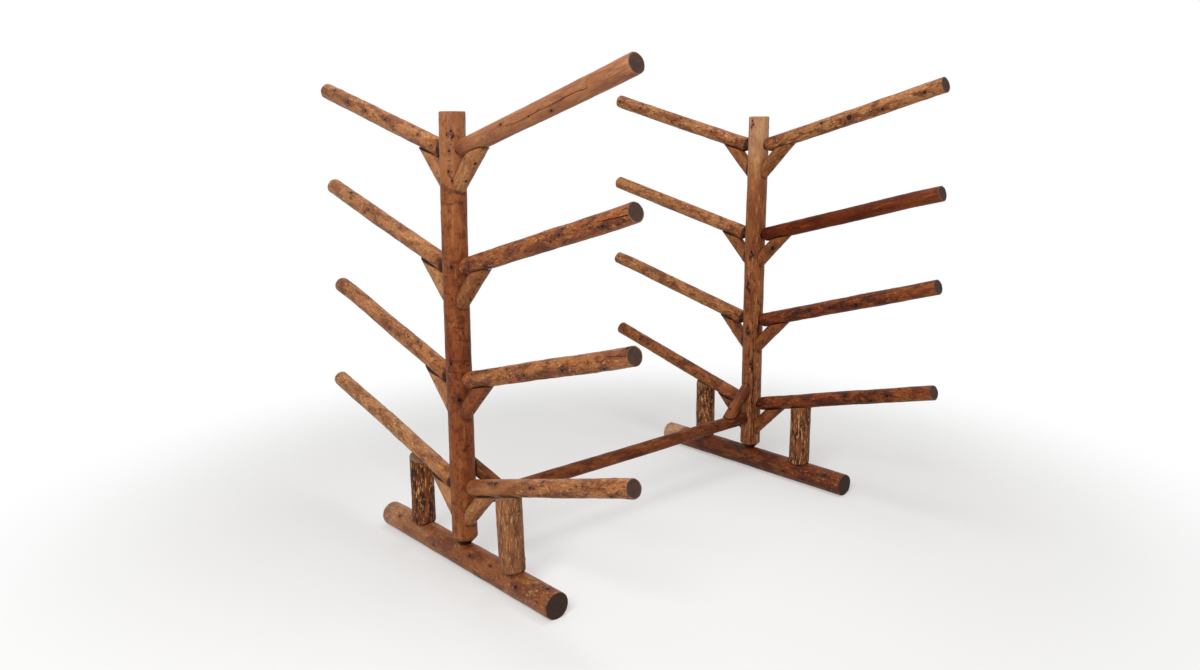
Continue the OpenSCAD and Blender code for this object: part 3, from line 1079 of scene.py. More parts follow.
    def end_off(self, blank: Object, z: float, radius: float, tenon: Tenon | None, bevel: float) -> None:
        """Finishes one end of the blank, in edit mode: a coned tenon or a bevelled saw cut.

        Args:
            blank: The blank.
            z: Place of the end.
            radius: Radius of the end.
            tenon: The tenon there, or None for a saw cut.
            bevel: Bevel of a saw cut.
        """

        def at_end(edge: BMEdge) -> bool:
            """Whether an edge lies in the plane of the end."""
            return all(abs(v.co.z - z) < EPS for v in edge.verts)

        choose(blank, "faces", lambda f: len(f.verts) > 4 and abs(f.calc_center_median().z - z) < EPS)
        if tenon:
            bpy.ops.mesh.extrude_region_move(TRANSFORM_OT_translate={"value": (0, 0, tenon.neck - z)})
            shrink = tenon.radius / radius
            bpy.ops.transform.resize(value=(shrink, shrink, 1), center_override=(0, 0, tenon.neck))
            bpy.ops.mesh.extrude_region_move(TRANSFORM_OT_translate={"value": (0, 0, tenon.tip - tenon.neck)})
            low, high = sorted((z, tenon.neck))
            choose(
                blank,
                "edges",
                lambda e: e.verts[0].co.z != e.verts[1].co.z
                and all(low - EPS < v.co.z < high + EPS for v in e.verts),
            )
            bpy.ops.mesh.subdivide(number_cuts=3)
            choose(blank, "edges", at_end)
            bpy.ops.mesh.bevel(offset=tenon.ease, segments=3, affect="EDGES")
            return
        # The band that is bevelled, and two rings that the disc's relief needs
        for thickness in (bevel, 0.18 * radius, 0.24 * radius):
            bpy.ops.mesh.inset(thickness=thickness, use_even_offset=False)
        bpy.ops.mesh.poke()
        choose(blank, "edges", lambda e: at_end(e) and all(v.co.xy.length > radius - EPS for v in e.verts))
        bpy.ops.mesh.bevel(offset=0.9 * bevel, segments=2, affect="EDGES")

    def split(self, check: Check) -> None:
        """Opens a check: a wandering chain of edges is bevelled and its middle pushed in.

        Args:
            check: The check.
        """
        pitch = 2 * math.pi / self.sides
        # The fibre is still straight here, so the check lies at the angle that the twist will turn
        straight = check.angle - check.twist * check.z
        column = math.pi / 2 + round((straight - math.pi / 2) / pitch) * pitch
        low, high = sorted((check.z, check.far_z))
        slack = 0.3 * check.width / self.start_r

        def line(z: float) -> float:
            """The angle of the check's line at a place, which steps from one long edge to the next."""
            stray = math.sin(z / check.wave) * math.sin(0.43 * z / check.wave)
            return column + pitch * round(check.wander * stray)

        def off(vert: BMVert, angle: float) -> bool:
            """Whether a vertex lies away from an angle."""
            turn = math.atan2(vert.co.y, vert.co.x) - angle
            return abs(math.remainder(turn, 2 * math.pi)) > slack

        def on_line(edge: BMEdge) -> bool:
            """Whether an edge is part of the check."""
            one, two = sorted(edge.verts, key=lambda v: v.co.z)
            if one.co.z < low or two.co.z > high or one.co.xy.length < 0.9 * self.end_r:
                return False
            if two.co.z - one.co.z > EPS:
                angle = line((one.co.z + two.co.z) / 2)
                return not off(one, angle) and not off(two, angle)
            before, after = line(one.co.z - 0.4 * self.ring), line(one.co.z + 0.4 * self.ring)
            return before != after and any(
                not off(a, before) and not off(b, after) for a, b in ((one, two), (two, one))
            )

        def in_middle(vert: BMVert) -> bool:
            """Whether a vertex lies on the bottom of the check."""
            near = [line(vert.co.z + step * self.ring) for step in (-0.3, 0.3)]
            inside = low <= vert.co.z <= high and vert.co.xy.length > 0.9 * self.end_r
            return inside and any(not off(vert, angle) for angle in near)

        take(self.obj)
        bpy.ops.object.mode_set(mode="EDIT")
        choose(self.obj, "edges", on_line)
        bpy.ops.mesh.bevel(offset=check.width / 2, segments=2, affect="EDGES")
        shape = bmesh.from_edit_mesh(self.obj.data)
        shade = shape.verts.layers.float.get("check") or shape.verts.layers.float.new("check")
        for vert in shape.verts:
            if vert.select:
                # Open, and painted dark with the shade in the crack, from its first end, and closing towards
                # its far one
                run = abs(vert.co.z - check.z) / (high - low)
                vert[shade] = (1.0 if in_middle(vert) else 0.45) * min(1.0, 3 * (1.05 - run))
        choose(self.obj, "verts", in_middle)
        inner = 1 - check.depth / self.start_r
        bpy.ops.transform.resize(value=(inner, inner, 1), center_override=(0, 0, 0))
        bpy.ops.object.mode_set(mode="OBJECT")

    def spiral(self, twist: float) -> None:
        """Turns the fibre, and the checks with it, about the log's axis.

        Args:
            twist: Angle in a metre.
        """
        places = points(self.obj.data)
        run = float(np.ptp(places[:, 2]))
        take(self.obj)
        apply_modifier(self.obj, "SIMPLE_DEFORM", deform_method="TWIST", deform_axis="Z", angle=twist * run)

    def weigh(self) -> None:
        """Makes the vertex groups: the whole body, the free end, and the bumps at the knots."""
        places = points(self.obj.data)
        z = places[:, 2]
        radius = np.hypot(places[:, 0], places[:, 1])
        on_side = radius > 0.6 * np.minimum(self.start_r, self.end_r)
        body = np.where(on_side, 1.0, 0.35)
        for tenon, edge in self.tenons:
            body *= fade(z, edge, tenon.neck)
        free = np.clip((z - self.start) / (self.end - self.start), 0, 1) ** 1.5
        near = self.nearest_knot(places)
        bump = fade(np.hypot(near[:, 0], near[:, 1]), 0.4, 3.2) * near[:, 2] * on_side
        curve = np.array(self.sway or ((0.0, 0.0), (1.0, 0.0)))
        swung = np.interp(z, curve[:, 0], np.abs(curve[:, 1])) / max(np.abs(curve[:, 1]).max(), EPS)
        steps = 80
        for group, weights in (
            (Group.BODY, body), (Group.FREE, free), (Group.KNOTS, bump), (Group.SWAY, swung),
        ):
            made = self.obj.vertex_groups.new(name=group.value)
            levels = np.round(weights * steps).astype(int)
            for level in np.unique(levels[levels > 0]):
                made.add(np.flatnonzero(levels == level).tolist(), level / steps, "REPLACE")

    def scatter_knots(self, rng: random.Random) -> None:
        """Adds knots in loose whorls, as a young conifer grows them.

        Args:
            rng: The log's own random numbers.
        """
        length = self.end - self.start
        z = self.start + rng.uniform(0.02, 0.08)
        step = 2.4 / self.scatter if self.scatter else length
        while z < self.end - 0.015:
            for _ in range(rng.choice((1, 2, 2, 3))):
                radius = rng.uniform(2.2, 5.0) * MM
                place = min(max(z + rng.gauss(0, 0.018), self.start + 0.01), self.end - 0.01)
                self.knots.append(Knot(rng.uniform(-math.pi, math.pi), place, radius, rng.uniform(0.5, 1.0)))
            z += step * rng.uniform(0.6, 1.4)
        if length < 2 * step:
            self.knots = self.knots[: max(1, int(length * self.scatter))]

    def nearest_knot(self, places: np.ndarray) -> np.ndarray:
        """For each place, the offset from the nearest knot in radii of that knot, and its strength.

        Args:
            places: Places in the log's own frame, one row each.

        Returns:
            Rows of offset round the log, offset along it, and strength.
        """
        count, far = len(places), 9.0
        best = np.full(count, far)
        rows = np.tile((far, far, 0.0), (count, 1))
        angle = np.arctan2(places[:, 1], places[:, 0])
        for knot in self.knots:
            turn = (angle - knot.angle + math.pi) % (2 * math.pi) - math.pi
            around = turn * self.start_r / knot.radius
            along = (places[:, 2] - knot.z) / knot.radius
            distance = np.hypot(around, along)
            nearer = distance < best
            best[nearer] = distance[nearer]
            strength = np.full(int(nearer.sum()), knot.strength)
            rows[nearer] = np.stack((around[nearer], along[nearer], strength), axis=1)
        return rows

    def home(self, places: np.ndarray) -> np.ndarray:
        """Places of the shared frame in the log's own frame, with its grown curve taken out."""
        local = moved(places, self.placement.inverted())
        if self.sway:
            local[:, 0] -= np.interp(local[:, 2], *zip(*self.sway))
        return local

    def gap_to(self, places: np.ndarray) -> np.ndarray:
        """How far places in the shared frame are from this log's nominal surface; inside is negative."""
        local = self.home(places)
        z = local[:, 2]
        profile = [(self.start, self.start_r), (self.end, self.end_r)]
        if self.root:
            profile.insert(0, (self.root.neck, self.root.radius))
        if self.tail:
            profile.append((self.tail.neck, self.tail.radius))
        side = np.hypot(local[:, 0], local[:, 1]) - np.interp(z, *zip(*profile))
        past = np.maximum(profile[0][0] - z, z - profile[-1][0])
        gap = np.where(past > 0, np.hypot(np.maximum(side, 0), past), side)
        for mitre in self.mitres:
            gap = np.maximum(gap, mitre.past(places))
        return gap

    def dress(self) -> None:
        """Writes the attributes that the finishes read, and gives each face its finish."""
        mesh = self.obj.data
        mesh.materials.clear()
        mesh.materials.append(self.finish.material)
        mesh.materials.append(self.end_finish.material)
        local = self.home(points(mesh))
        grain = local + np.array((0.0, 0.0, 3.0 * self.seed))
        share = (local[:, 2] - self.start) / (self.end - self.start)
        mottle, soak = (np.interp(share, *zip(*profile)) for profile in (self.mottle, self.soak))
        # Mottle and soak of the stain, and the painted shade in checks, along joints and on coned shoulders
        stain_and_shade = np.stack((mottle, soak, self.gap_shade_and_stain(mesh, local)), axis=1)
        for name, rows in (("grain", grain), ("knot", self.nearest_knot(local)), ("stain_and_shade", stain_and_shade)):
            attribute = mesh.attributes.new(name, "FLOAT_VECTOR", "POINT")
            attribute.data.foreach_set("vector", rows.astype(np.float32).ravel())
        self.assign_faces(mesh)
        take(self.obj)
        # Bevels look round, while the rims of saw cuts and mortises stay sharp
        bpy.ops.object.shade_smooth_by_angle(angle=math.radians(38))

    def gap_shade_and_stain(self, mesh: Mesh, local: np.ndarray) -> np.ndarray:
        """The painted shade, with some pooled stain, in the checks, along the joints with other logs and on
        the coned shoulders.

        Args:
            mesh: The log's mesh, in place, where the checks were marked before it was made uneven.
            local: The places of its vertices in the log's own frame.

        Returns:
            How dark each vertex is, from 0 to 1.
        """
        darkness = np.zeros(len(local), np.float32)
        mark = mesh.attributes.get("check")
        if mark:
            mark.data.foreach_get("value", darkness)
        places = points(mesh)
        for neighbour in self.neighbours:
            # The painted shade reaches further from a log with a coned shoulder, into the groove under its
            # cone, than from a brace or a prop
            reach = 9 * MM if neighbour.root else 5 * MM
            gap = np.abs(neighbour.gap_to(places))
            darkness = np.maximum(darkness, 0.75 * fade(gap, 0.5 * MM, reach))
        # The coned shoulders get painted shade towards their necks
        for tenon, edge in self.tenons:
            share = (local[:, 2] - edge) / (tenon.neck - edge)
            darkness = np.maximum(darkness, self.cone_shade * fade(share, tenon.pale, tenon.pale / 2))
        return darkness

    def assign_faces(self, mesh: Mesh) -> None:
        """Gives saw cuts, copes, mortises and bores the end grain, and the rest the side's finish.

        Args:
            mesh: The log's mesh, in place.
        """
        count = len(mesh.polygons)
        flat = np.empty(count * 3, np.float32)
        mesh.polygons.foreach_get("center", flat)
        centre = self.home(flat.reshape(-1, 3).astype(float))
        mesh.polygons.foreach_get("normal", flat)
        turn = np.array(self.placement.inverted())[:3, :3]
        normal = flat.reshape(-1, 3).astype(float) @ turn.T
        z = centre[:, 2]
        radius = np.hypot(centre[:, 0], centre[:, 1])
        on_cone = np.zeros(count, bool)
        for tenon, edge in self.tenons:
            on_cone |= (z < edge) if tenon.neck < edge else (z > edge)
        nominal = self.radius_at(np.clip(z, self.start, self.end))
        sawn = (np.abs(normal[:, 2]) > 0.8) & (radius < nominal - 0.7 * self.end_bevel)
        deepest_relief = 5 * MM
        cut = radius < nominal - deepest_relief
        mesh.polygons.foreach_set("material_index", ((sawn | cut) & ~on_cone).astype(np.int32))
        mesh.update()

    def hand_over(self) -> None:
        """Dresses the log and puts it on its body in place of its CAD node."""
        self.dress()
        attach(self.obj, "root")
        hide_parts(self.node)
        low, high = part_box(self.node)
        places = points(self.obj.data)
        miss = max(np.abs(places.min(0) - low).max(), np.abs(places.max(0) - high).max())
        faces = len(self.obj.data.polygons)
        LOG.info("%s: %d faces, within %.1f mm of its node's box", self.obj.name, faces, miss / MM)


# ---------------------------------------------------------------------------------------------------
# The photograph's view


# Knots that are clear in the photograph, by node: the pixel's column and row, and the radius of the
# knot's core in millimetres
SEEN_KNOTS = {
    "left_post": (
        (448.7, 131, 4), (444.6, 134.8, 3), (451.4, 135.7, 3), (449.5, 138, 3), (447.2, 151, 4),
        (447, 171.6, 4), (450.5, 181, 3), (454.3, 182, 3), (451, 267.5, 5), (451, 363.7, 5),
        (459.5, 400, 7),
    ),
    "left_base_log": (
        (515.7, 587.3, 7), (547.9, 589.1, 7), (400, 515.9, 6), (434, 545, 5), (470, 556, 6),
        (490, 566, 4),
    ),
    "left_front_arm_1": (
        (489.8, 483.7, 5), (496, 484, 7), (530, 488, 5), (543.4, 482, 5), (611.3, 496.8, 5),
    ),
    "left_front_arm_2": ((524, 375.5, 5), (562, 370.6, 6), (604, 369.2, 5), (627.8, 348.2, 6)),
    "left_front_arm_3": ((559, 235, 5), (603, 226, 5), (485, 266, 5)),
    "left_front_arm_4": ((500.7, 124.5, 4), (551.6, 110.4, 4), (522.3, 129.1, 4), (593, 86.4, 7)),
    "left_back_arm_3": ((351.4, 192.6, 7), (350.4, 198, 4), (368, 209, 4)),
    "left_back_arm_4": (
        (348, 102, 7), (365.6, 111, 6), (385.4, 119.4, 6), (335, 90.6, 6), (417.6, 134.6, 5),
    ),
    "right_post": (
        (752.7, 120.5, 4), (753.4, 124.5, 5), (751.8, 127.5, 4), (752, 252, 5), (753.6, 255.5, 4),
        (750.8, 257.5, 4), (748.8, 283, 5), (748, 287.5, 5), (750, 290.5, 4), (751, 364, 6),
        (752.4, 369, 5), (748.2, 328, 5), (747.2, 332, 4), (749.6, 333.5, 4), (757, 345, 3),
    ),
    "right_base_log": ((824.7, 475.3, 6), (803.3, 479.4, 5), (783.5, 471.2, 5)),
    "right_front_arm_1": ((845.1, 395.7, 7), (870.6, 400.8, 6), (886.9, 395.7, 6)),
    "right_front_arm_2": ((855.9, 304.9, 7), (829.8, 308, 6), (809.4, 310, 6), (797.1, 313, 6)),
    "right_front_arm_4": ((849.1, 117.4, 10), (821.5, 123.1, 6), (882.4, 109.4, 6), (924.8, 92.1, 6)),
    "right_front_brace_3": ((772.6, 248.2, 8),),
    "right_back_arm_4": (
        (680.8, 118, 5), (675.8, 120.5, 4), (711.3, 131.2, 4), (640.8, 108.3, 5), (620.3, 101.7, 5),
    ),
}
# Drying checks that are clear in it: the pixels of the first and the far end, the width in
# millimetres, and how far the line strays to each side, in long edges of the mesh
SEEN_CHECKS = {
    "left_front_arm_2": (((626, 355.9), (605.4, 357.3), 1.6, 1.4),),
    "left_front_arm_3": (((629, 215), (598.6, 221.4), 2.2, 0.0),),
    "left_front_arm_4": (((505.7, 125.7), (586.8, 87.5), 1.2, 1.4),),
    "right_post": (((751.4, 443), (754, 322), 4.2, 1.4), ((754.8, 433), (757.6, 372), 2.6, 1.4)),
}


@dataclass(frozen=True)
class PhotoView:
    """The camera, solved from the photograph, and the knots and checks that its rays find on the logs.

    Attributes:
        place: The camera's place.
        heading: Angle from +Y towards +X in degrees.
        pitch: Angle above level in degrees.
        roll: Turn about the view in degrees.
        lens: Focal length in millimetres.
        sensor: Width of the sensor in millimetres.
        size: Width and height of the photograph in pixels.
    """

    place: tuple[float, float, float] = (-2.9553, -3.1443, 1.7658)
    heading: float = 41.574
    pitch: float = -11.789
    roll: float = -0.333
    lens: float = 28.20
    sensor: float = 36.0
    size: tuple[int, int] = (1200, 670)

    def axes(self) -> tuple[Vector, Vector, Vector]:
        """The camera's right, up and forward directions."""
        heading, pitch, roll = map(math.radians, (self.heading, self.pitch, self.roll))
        forward = Vector(
            (math.sin(heading) * math.cos(pitch), math.cos(heading) * math.cos(pitch), math.sin(pitch))
        )
        right = forward.cross(Vector((0, 0, 1))).normalized()
        up = right.cross(forward)
        cos, sin = math.cos(roll), math.sin(roll)
        return cos * right + sin * up, cos * up - sin * right, forward

    def camera(self) -> None:
        """Makes the camera and makes it the scene's own."""
        camera = bpy.data.objects.new("camera", bpy.data.cameras.new("camera"))
        bpy.context.scene.collection.objects.link(camera)
        right, up, forward = self.axes()
        turn = Matrix((right, up, -forward)).transposed().to_4x4()
        camera.matrix_world = Matrix.Translation(self.place) @ turn
        camera.data.lens = self.lens
        camera.data.sensor_width = self.sensor
        bpy.context.scene.camera = camera

    def spot(self, pixel: tuple[float, float], log: Log) -> tuple[float, float]:
        """Finds where the ray through a pixel meets a log.

        Args:
            pixel: Place in the photograph.
            log: The log.

        Returns:
            The angle round the log and the place along it.
        """
        right, up, forward = self.axes()
        focal = self.lens / self.sensor * self.size[0]
        across, down = pixel[0] - self.size[0] / 2, pixel[1] - self.size[1] / 2
        back = log.placement.inverted()
        eye = back @ Vector(self.place)
        ray = back.to_3x3() @ (focal * forward + across * right - down * up).normalized()
        radius = log.start_r
        hit = eye
        for _ in range(4):
            a = ray.xy.length_squared
            b = eye.xy.dot(ray.xy)
            c = eye.xy.length_squared - radius**2
            root = max(b * b - a * c, 0.0)
            hit = eye + ray * ((-b - math.sqrt(root)) / a)
            radius = float(log.radius_at(hit.z))
        return math.atan2(hit.y, hit.x), hit.z

    def mark(self, log: Log) -> None:
        """Puts the knots and checks that the photograph shows of a log on that log.

        Args:
            log: The log.
        """
        # Knots are drawn larger than they were seen, since their frayed edge hides a part
        growth = 1.3
        for column, row, radius in SEEN_KNOTS.get(log.node, ()):
            log.knots.append(Knot(*self.spot((column, row), log), growth * radius * MM))
        for pixel, far_pixel, width, wander in SEEN_CHECKS.get(log.node, ()):
            ends = (*self.spot(pixel, log), *self.spot(far_pixel, log))
            log.checks.append(Check(*ends, width * MM, wander=wander))


VIEW = PhotoView()



# ---------------------------------------------------------------------------------------------------
# The rack


# Each post's grown curve: heights and moves along X in metres, read off the photograph
POST_SWAY = {
    Side.LEFT: ((0.0, 0.0), (0.9, 0.0), (1.2, 0.0015), (1.45, 0.004), (1.65, 0.007), (1.88, 0.011)),
    Side.RIGHT: (
        (0.0, 0.0), (0.3, -0.001), (0.6, -0.003), (0.95, -0.005), (1.3, -0.004), (1.6, -0.0015), (1.9, 0.0),
    ),
}


@dataclass(frozen=True)
class RackSizes:
    """The sizes that the sub-assemblies share, as in the CAD source, and what follows from them.

    Only the arms differ: hewn as in the photograph they hardly taper, so their roots are 1.5 mm
    thinner and their tips 3 mm thicker than the turned solids.
    """

    post_spacing: float = 1.860
    first_tier: float = 0.348
    tier_pitch: float = 0.455
    post_head: float = 0.159
    post_foot_d: float = 0.105
    post_top_d: float = 0.103
    post_tenon_d: float = 0.050
    post_tenon_l: float = 0.055
    base_d: float = 0.110
    base_flat: float = 0.002
    arm_l: float = 1.067
    arm_root_d: float = 0.0715
    arm_tip_d: float = 0.070
    arm_tenon_d: float = 0.038
    brace_d: float = 0.066
    brace_drop: float = 0.105
    brace_slope: float = 45.0
    brace_nest: float = 2 * MM
    prop_d: float = 0.104
    prop_gap: float = 0.050
    prop_let: float = 8 * MM
    prop_nest: float = 3 * MM
    prop_bevel: float = 9 * MM
    shoulder_slope: float = 45.0
    mortise_web: float = 0.012
    seat_fit: float = 0.3 * MM
    tenon_fit: float = 0.4 * MM
    cope_gap: float = 0.6 * MM
    # Room past a tenon's end and round a prop in its seat, a height clear of the base logs, and the
    # length that a prop's mitre takes off
    tip_room: float = 1 * MM
    prop_room: float = 1 * MM
    cut_top: float = 0.2
    prop_spare: float = 30 * MM

    @property
    def slope(self) -> float:
        """Slope of all braces in radians."""
        return math.radians(self.brace_slope)

    @property
    def base_crest(self) -> float:
        """Height of a base log's top."""
        return self.base_d - self.base_flat

    @property
    def post_top(self) -> float:
        """Height of a post's sawn top."""
        return self.tier_z(4) + self.post_head

    @property
    def post_neck(self) -> float:
        """Height at which a post's cone meets its tenon."""
        return self.base_crest + self.seat_fit

    @property
    def post_tip(self) -> float:
        """Height of the end of a post's tenon."""
        return self.post_neck - self.post_tenon_l

    @property
    def post_shoulder(self) -> float:
        """Height at which a post's full body begins."""
        return self.post_neck + self.shoulder_l(self.post_foot_d, self.post_tenon_d)

    def shoulder_l(self, log_d: float, tenon_d: float) -> float:
        """Length of the cone between a log and its tenon."""
        return (log_d - tenon_d) / 2 / math.tan(math.radians(self.shoulder_slope))

    def tree_x(self, side: Side) -> float:
        """Place of a tree along X."""
        return side.value * self.post_spacing / 2

    def tier_z(self, tier: int) -> float:
        """Height of the roots of a tier's arms, the lowest tier being 1."""
        return self.first_tier + (tier - 1) * self.tier_pitch

    def post_r(self, z: float) -> float:
        """Radius of a post at a height."""
        share = (z - self.post_shoulder) / (self.post_top - self.post_shoulder)
        return (self.post_foot_d + (self.post_top_d - self.post_foot_d) * share) / 2

    def post_x(self, side: Side, z: float) -> float:
        """Place along X of a post's grown middle at a height."""
        return self.tree_x(side) + float(np.interp(z, *zip(*POST_SWAY[side])))

    def arm_neck(self, rise: float, tier: int) -> float:
        """Place along an arm where its cone just clears the post."""
        slack = self.post_r(self.tier_z(tier)) + self.seat_fit + self.arm_tenon_d / 2 * math.sin(rise)
        return slack / math.cos(rise)

    def arm_tip(self, rise: float) -> float:
        """Place along an arm of its tenon's end."""
        return (self.mortise_web / 2 + self.arm_tenon_d / 2 * math.sin(rise)) / math.cos(rise)

    def arm_shoulder(self, rise: float, tier: int) -> float:
        """Place along an arm where its full body begins."""
        return self.arm_neck(rise, tier) + self.shoulder_l(self.arm_root_d, self.arm_tenon_d)

    def arm_r(self, rise: float, tier: int, place: float) -> float:
        """Radius of an arm at a place along it."""
        start = self.arm_shoulder(rise, tier)
        share = (place - start) / (self.arm_l - start)
        return (self.arm_root_d + (self.arm_tip_d - self.arm_root_d) * share) / 2

    def arm_under(self, rise: float) -> float:
        """Depth of an arm's underside below its axis, measured upright."""
        return self.arm_root_d / 2 / math.cos(rise)

    def brace_z(self, tier: int) -> float:
        """Height at which a knee brace's axis meets the post's surface."""
        return self.tier_z(tier) - self.brace_drop

    def brace_meets(self, rise: float, tier: int, lift: float, drop: float) -> float:
        """Distance from the post's axis at which a brace's line meets an arm's line.

        Args:
            rise: Rise of the arm in radians.
            tier: Tier of the arm.
            lift: Height of the brace's line above the brace's axis.
            drop: Depth of the arm's line below the arm's axis.

        Returns:
            The distance along Y.
        """
        slope = math.tan(self.slope)
        reach = self.brace_drop + self.post_r(self.brace_z(tier)) * slope - lift - drop
        return reach / (slope - math.tan(rise))


SIZES = RackSizes()


@dataclass(frozen=True)
class ScrewSizes:
    """The sizes of the screws and of the holes that they need, as in the CAD source."""

    shank_r: float = 3.5 * MM
    head_r: float = 6.5 * MM
    head_h: float = 4 * MM
    cover: float = 1 * MM
    sink: float = 14 * MM
    bite: float = 42 * MM
    cross_bite: float = 12 * MM
    lag_r: float = 5 * MM
    lag_head_r: float = 9.5 * MM
    lag_sink: float = 18 * MM
    lag_bite: float = 45 * MM
    toe_slope: float = 45.0

    def hole(self, placement: Matrix, shank_l: float) -> Object:
        """The cutter for one wood screw."""
        return stepped_cutter(placement, shank_l, self.shank_r, self.head_r)

    def lag_hole(self, x: float, y: float, from_l: float) -> Object:
        """The cutter for one lag screw that stands upright at a place."""
        placement = placed(x, y, self.lag_sink)
        return stepped_cutter(placement, from_l - self.lag_sink + self.lag_bite, self.lag_r, self.lag_head_r)

    def cross_seat(self, radius: float, off_axis: float) -> float:
        """Place across a post of a tenon screw's head, where the screw runs beside the post's axis."""
        return math.sqrt(radius**2 - off_axis**2) - self.head_h - self.cover


SCREWS = ScrewSizes()


def placed(x: float, y: float, z: float, about: str = "X", degrees: float = 0.0) -> Matrix:
    """A frame at a place, turned about one axis."""
    return Matrix.Translation((x, y, z)) @ Matrix.Rotation(math.radians(degrees), 4, about)


def log_cutter(log: Log, gap: float, shift: float = 0.0) -> Object:
    """A cutter with a log's nominal form, without its cones.

    Args:
        log: The log that needs room.
        gap: Room all round it.
        shift: Move along X, where the log's grown curve carries it.

    Returns:
        The cutter.
    """
    placement = placed(shift, 0, 0) @ log.placement
    return turned_cutter(placement, log.start - 0.25 * gap, log.end + gap, log.start_r + gap, log.end_r + gap)


@dataclass
class Arm:
    """A rising arm with its knee brace and, on the lowest tier, its prop.

    Attributes:
        side: The tree.
        face: The direction in which the arm leaves the post.
        tier: The tier, the lowest being 1.
        rise_deg: Rise in degrees.
        over: Length that the arm has over the usual one, in millimetres.
        mottle: How ragged the stain is.
        soak: How deep the stain went in; on some arms it is partly a painted shadow.
        tip_out_of_shade: How much less deep the stain and the painted shadow are at the arm's tip.
        smooth: Whether the arm was peeled clean.
        clean: Share of the arm's length, from its root, that was peeled clean.
        brace_soak: How deep the stain went in on the brace.
        prop_soak: How deep the stain went in on the prop.
        prop_mottle: How ragged the stain is on the prop.
        prop_lean: How far the prop's head leans along X.
    """

    side: Side
    face: Face
    tier: int
    rise_deg: float
    over: float = 0.0
    mottle: float = 0.8
    soak: float = 1.0
    tip_out_of_shade: float = 0.0
    smooth: bool = False
    clean: float = -0.1
    brace_soak: float = 1.0
    prop_soak: float = 1.0
    prop_mottle: float = 1.0
    prop_lean: float = 0.0

    @property
    def rise(self) -> float:
        """Rise in radians."""
        return math.radians(self.rise_deg)

    @property
    def x(self) -> float:
        """Place of the tree along X."""
        return SIZES.tree_x(self.side)

    @property
    def swayed_x(self) -> float:
        """Place along X of the post's grown middle at the arm."""
        return SIZES.post_x(self.side, SIZES.tier_z(self.tier))

    @property
    def stem(self) -> str:
        """Start of the names of this arm's CAD nodes."""
        return f"{self.side.label}_{self.face.label}"

    @property
    def placement(self) -> Matrix:
        """The arm's frame, from the post's middle along the arm's axis."""
        turn = -self.face.value * (90 - self.rise_deg)
        return placed(self.swayed_x, 0, SIZES.tier_z(self.tier), "X", turn)

    @property
    def prop_y(self) -> float:
        """Distance of the prop from the post's axis."""
        brace_under = SIZES.brace_d / 2 / math.cos(SIZES.slope)
        reach = SIZES.brace_meets(self.rise, 1, -brace_under, SIZES.arm_under(self.rise))
        return reach + SIZES.prop_gap + SIZES.prop_d / 2

    @property
    def prop_seat(self) -> float:
        """Depth of the prop's mitred top below the arm's axis."""
        return SIZES.arm_r(self.rise, 1, self.prop_y / math.cos(self.rise)) - SIZES.prop_nest

    @property
    def prop_top(self) -> float:
        """Height of the prop's mitred top at the prop's axis."""
        return SIZES.tier_z(1) + self.prop_y * math.tan(self.rise) - self.prop_seat / math.cos(self.rise)

    @property
    def screw_y(self) -> float:
        """Distance from the post's axis of the upright screw in the brace's head."""
        return SIZES.brace_meets(self.rise, self.tier, 0, SIZES.arm_under(self.rise))

    def mitre_under(self, depth: float) -> Mitre:
        """The saw cut parallel to the arm, at a depth below its axis."""
        outward = Vector((0, -self.face.value * math.sin(self.rise), math.cos(self.rise)))
        return Mitre(Vector((self.x, 0, SIZES.tier_z(self.tier))) - depth * outward, outward)

    def arm_log(self) -> Log:
        """Describes the arm itself."""
        end = SIZES.arm_l + self.over * MM
        tip_soak_and_shade = self.soak - self.tip_out_of_shade
        neck, tip = SIZES.arm_neck(self.rise, self.tier), SIZES.arm_tip(self.rise)
        # Painted shade darkens the cones towards the post, and those of the back arms nearly all over
        pale = 0.5 if self.face is Face.FRONT else 0.1
        return Log(
            node=f"{self.stem}_arm_{self.tier}",
            slot="arm_log",
            finish=SMOOTH_ARM_FINISH if self.smooth else ARM_FINISH,
            placement=self.placement,
            start=SIZES.arm_shoulder(self.rise, self.tier),
            end=end,
            start_r=SIZES.arm_root_d / 2,
            end_r=SIZES.arm_r(self.rise, self.tier, end),
            end_bevel=1.6 * MM,
            reliefs=(SMOOTH_RELIEF if self.smooth else PEELED_RELIEF) + BOW,
            root=Tenon(neck, tip, SIZES.arm_tenon_d / 2, pale=pale),
            mottle=((self.clean, 0.35 * self.mottle), (self.clean + 0.08, self.mottle)),
            soak=((0.0, self.soak + 0.3), (0.12, self.soak), (0.4, self.soak), (0.95, tip_soak_and_shade)),
            scatter=3.0 if self.smooth else 13.0,
        )

    def brace_log(self) -> Log:
        """Describes the knee brace, which starts inside the post and ends on the arm's axis."""
        start = SIZES.mortise_web
        end = SIZES.brace_meets(self.rise, self.tier, 0, 0)
        post_r = SIZES.post_r(SIZES.brace_z(self.tier))
        z = SIZES.brace_z(self.tier) + (start - post_r) * math.tan(SIZES.slope)
        seat = SIZES.arm_r(self.rise, self.tier, self.screw_y / math.cos(self.rise)) - SIZES.brace_nest
        foot = Vector((self.x, self.face.value * (post_r - SIZES.brace_nest), z))
        turn = -self.face.value * (90 - SIZES.brace_slope)
        return Log(
            node=f"{self.stem}_brace_{self.tier}",
            slot="brace_log",
            finish=BRACE_FINISH,
            placement=placed(self.swayed_x, self.face.value * start, z, "X", turn),
            start=0.0,
            end=(end - start) / math.cos(SIZES.slope),
            start_r=SIZES.brace_d / 2,
            end_r=SIZES.brace_d / 2,
            ring=6 * MM,
            mottle=((0.0, 0.75),),
            soak=((0.0, self.brace_soak),),
            scatter=26.0,
            mitres=[Mitre(foot, Vector((0, -self.face.value, 0))), self.mitre_under(seat)],
        )

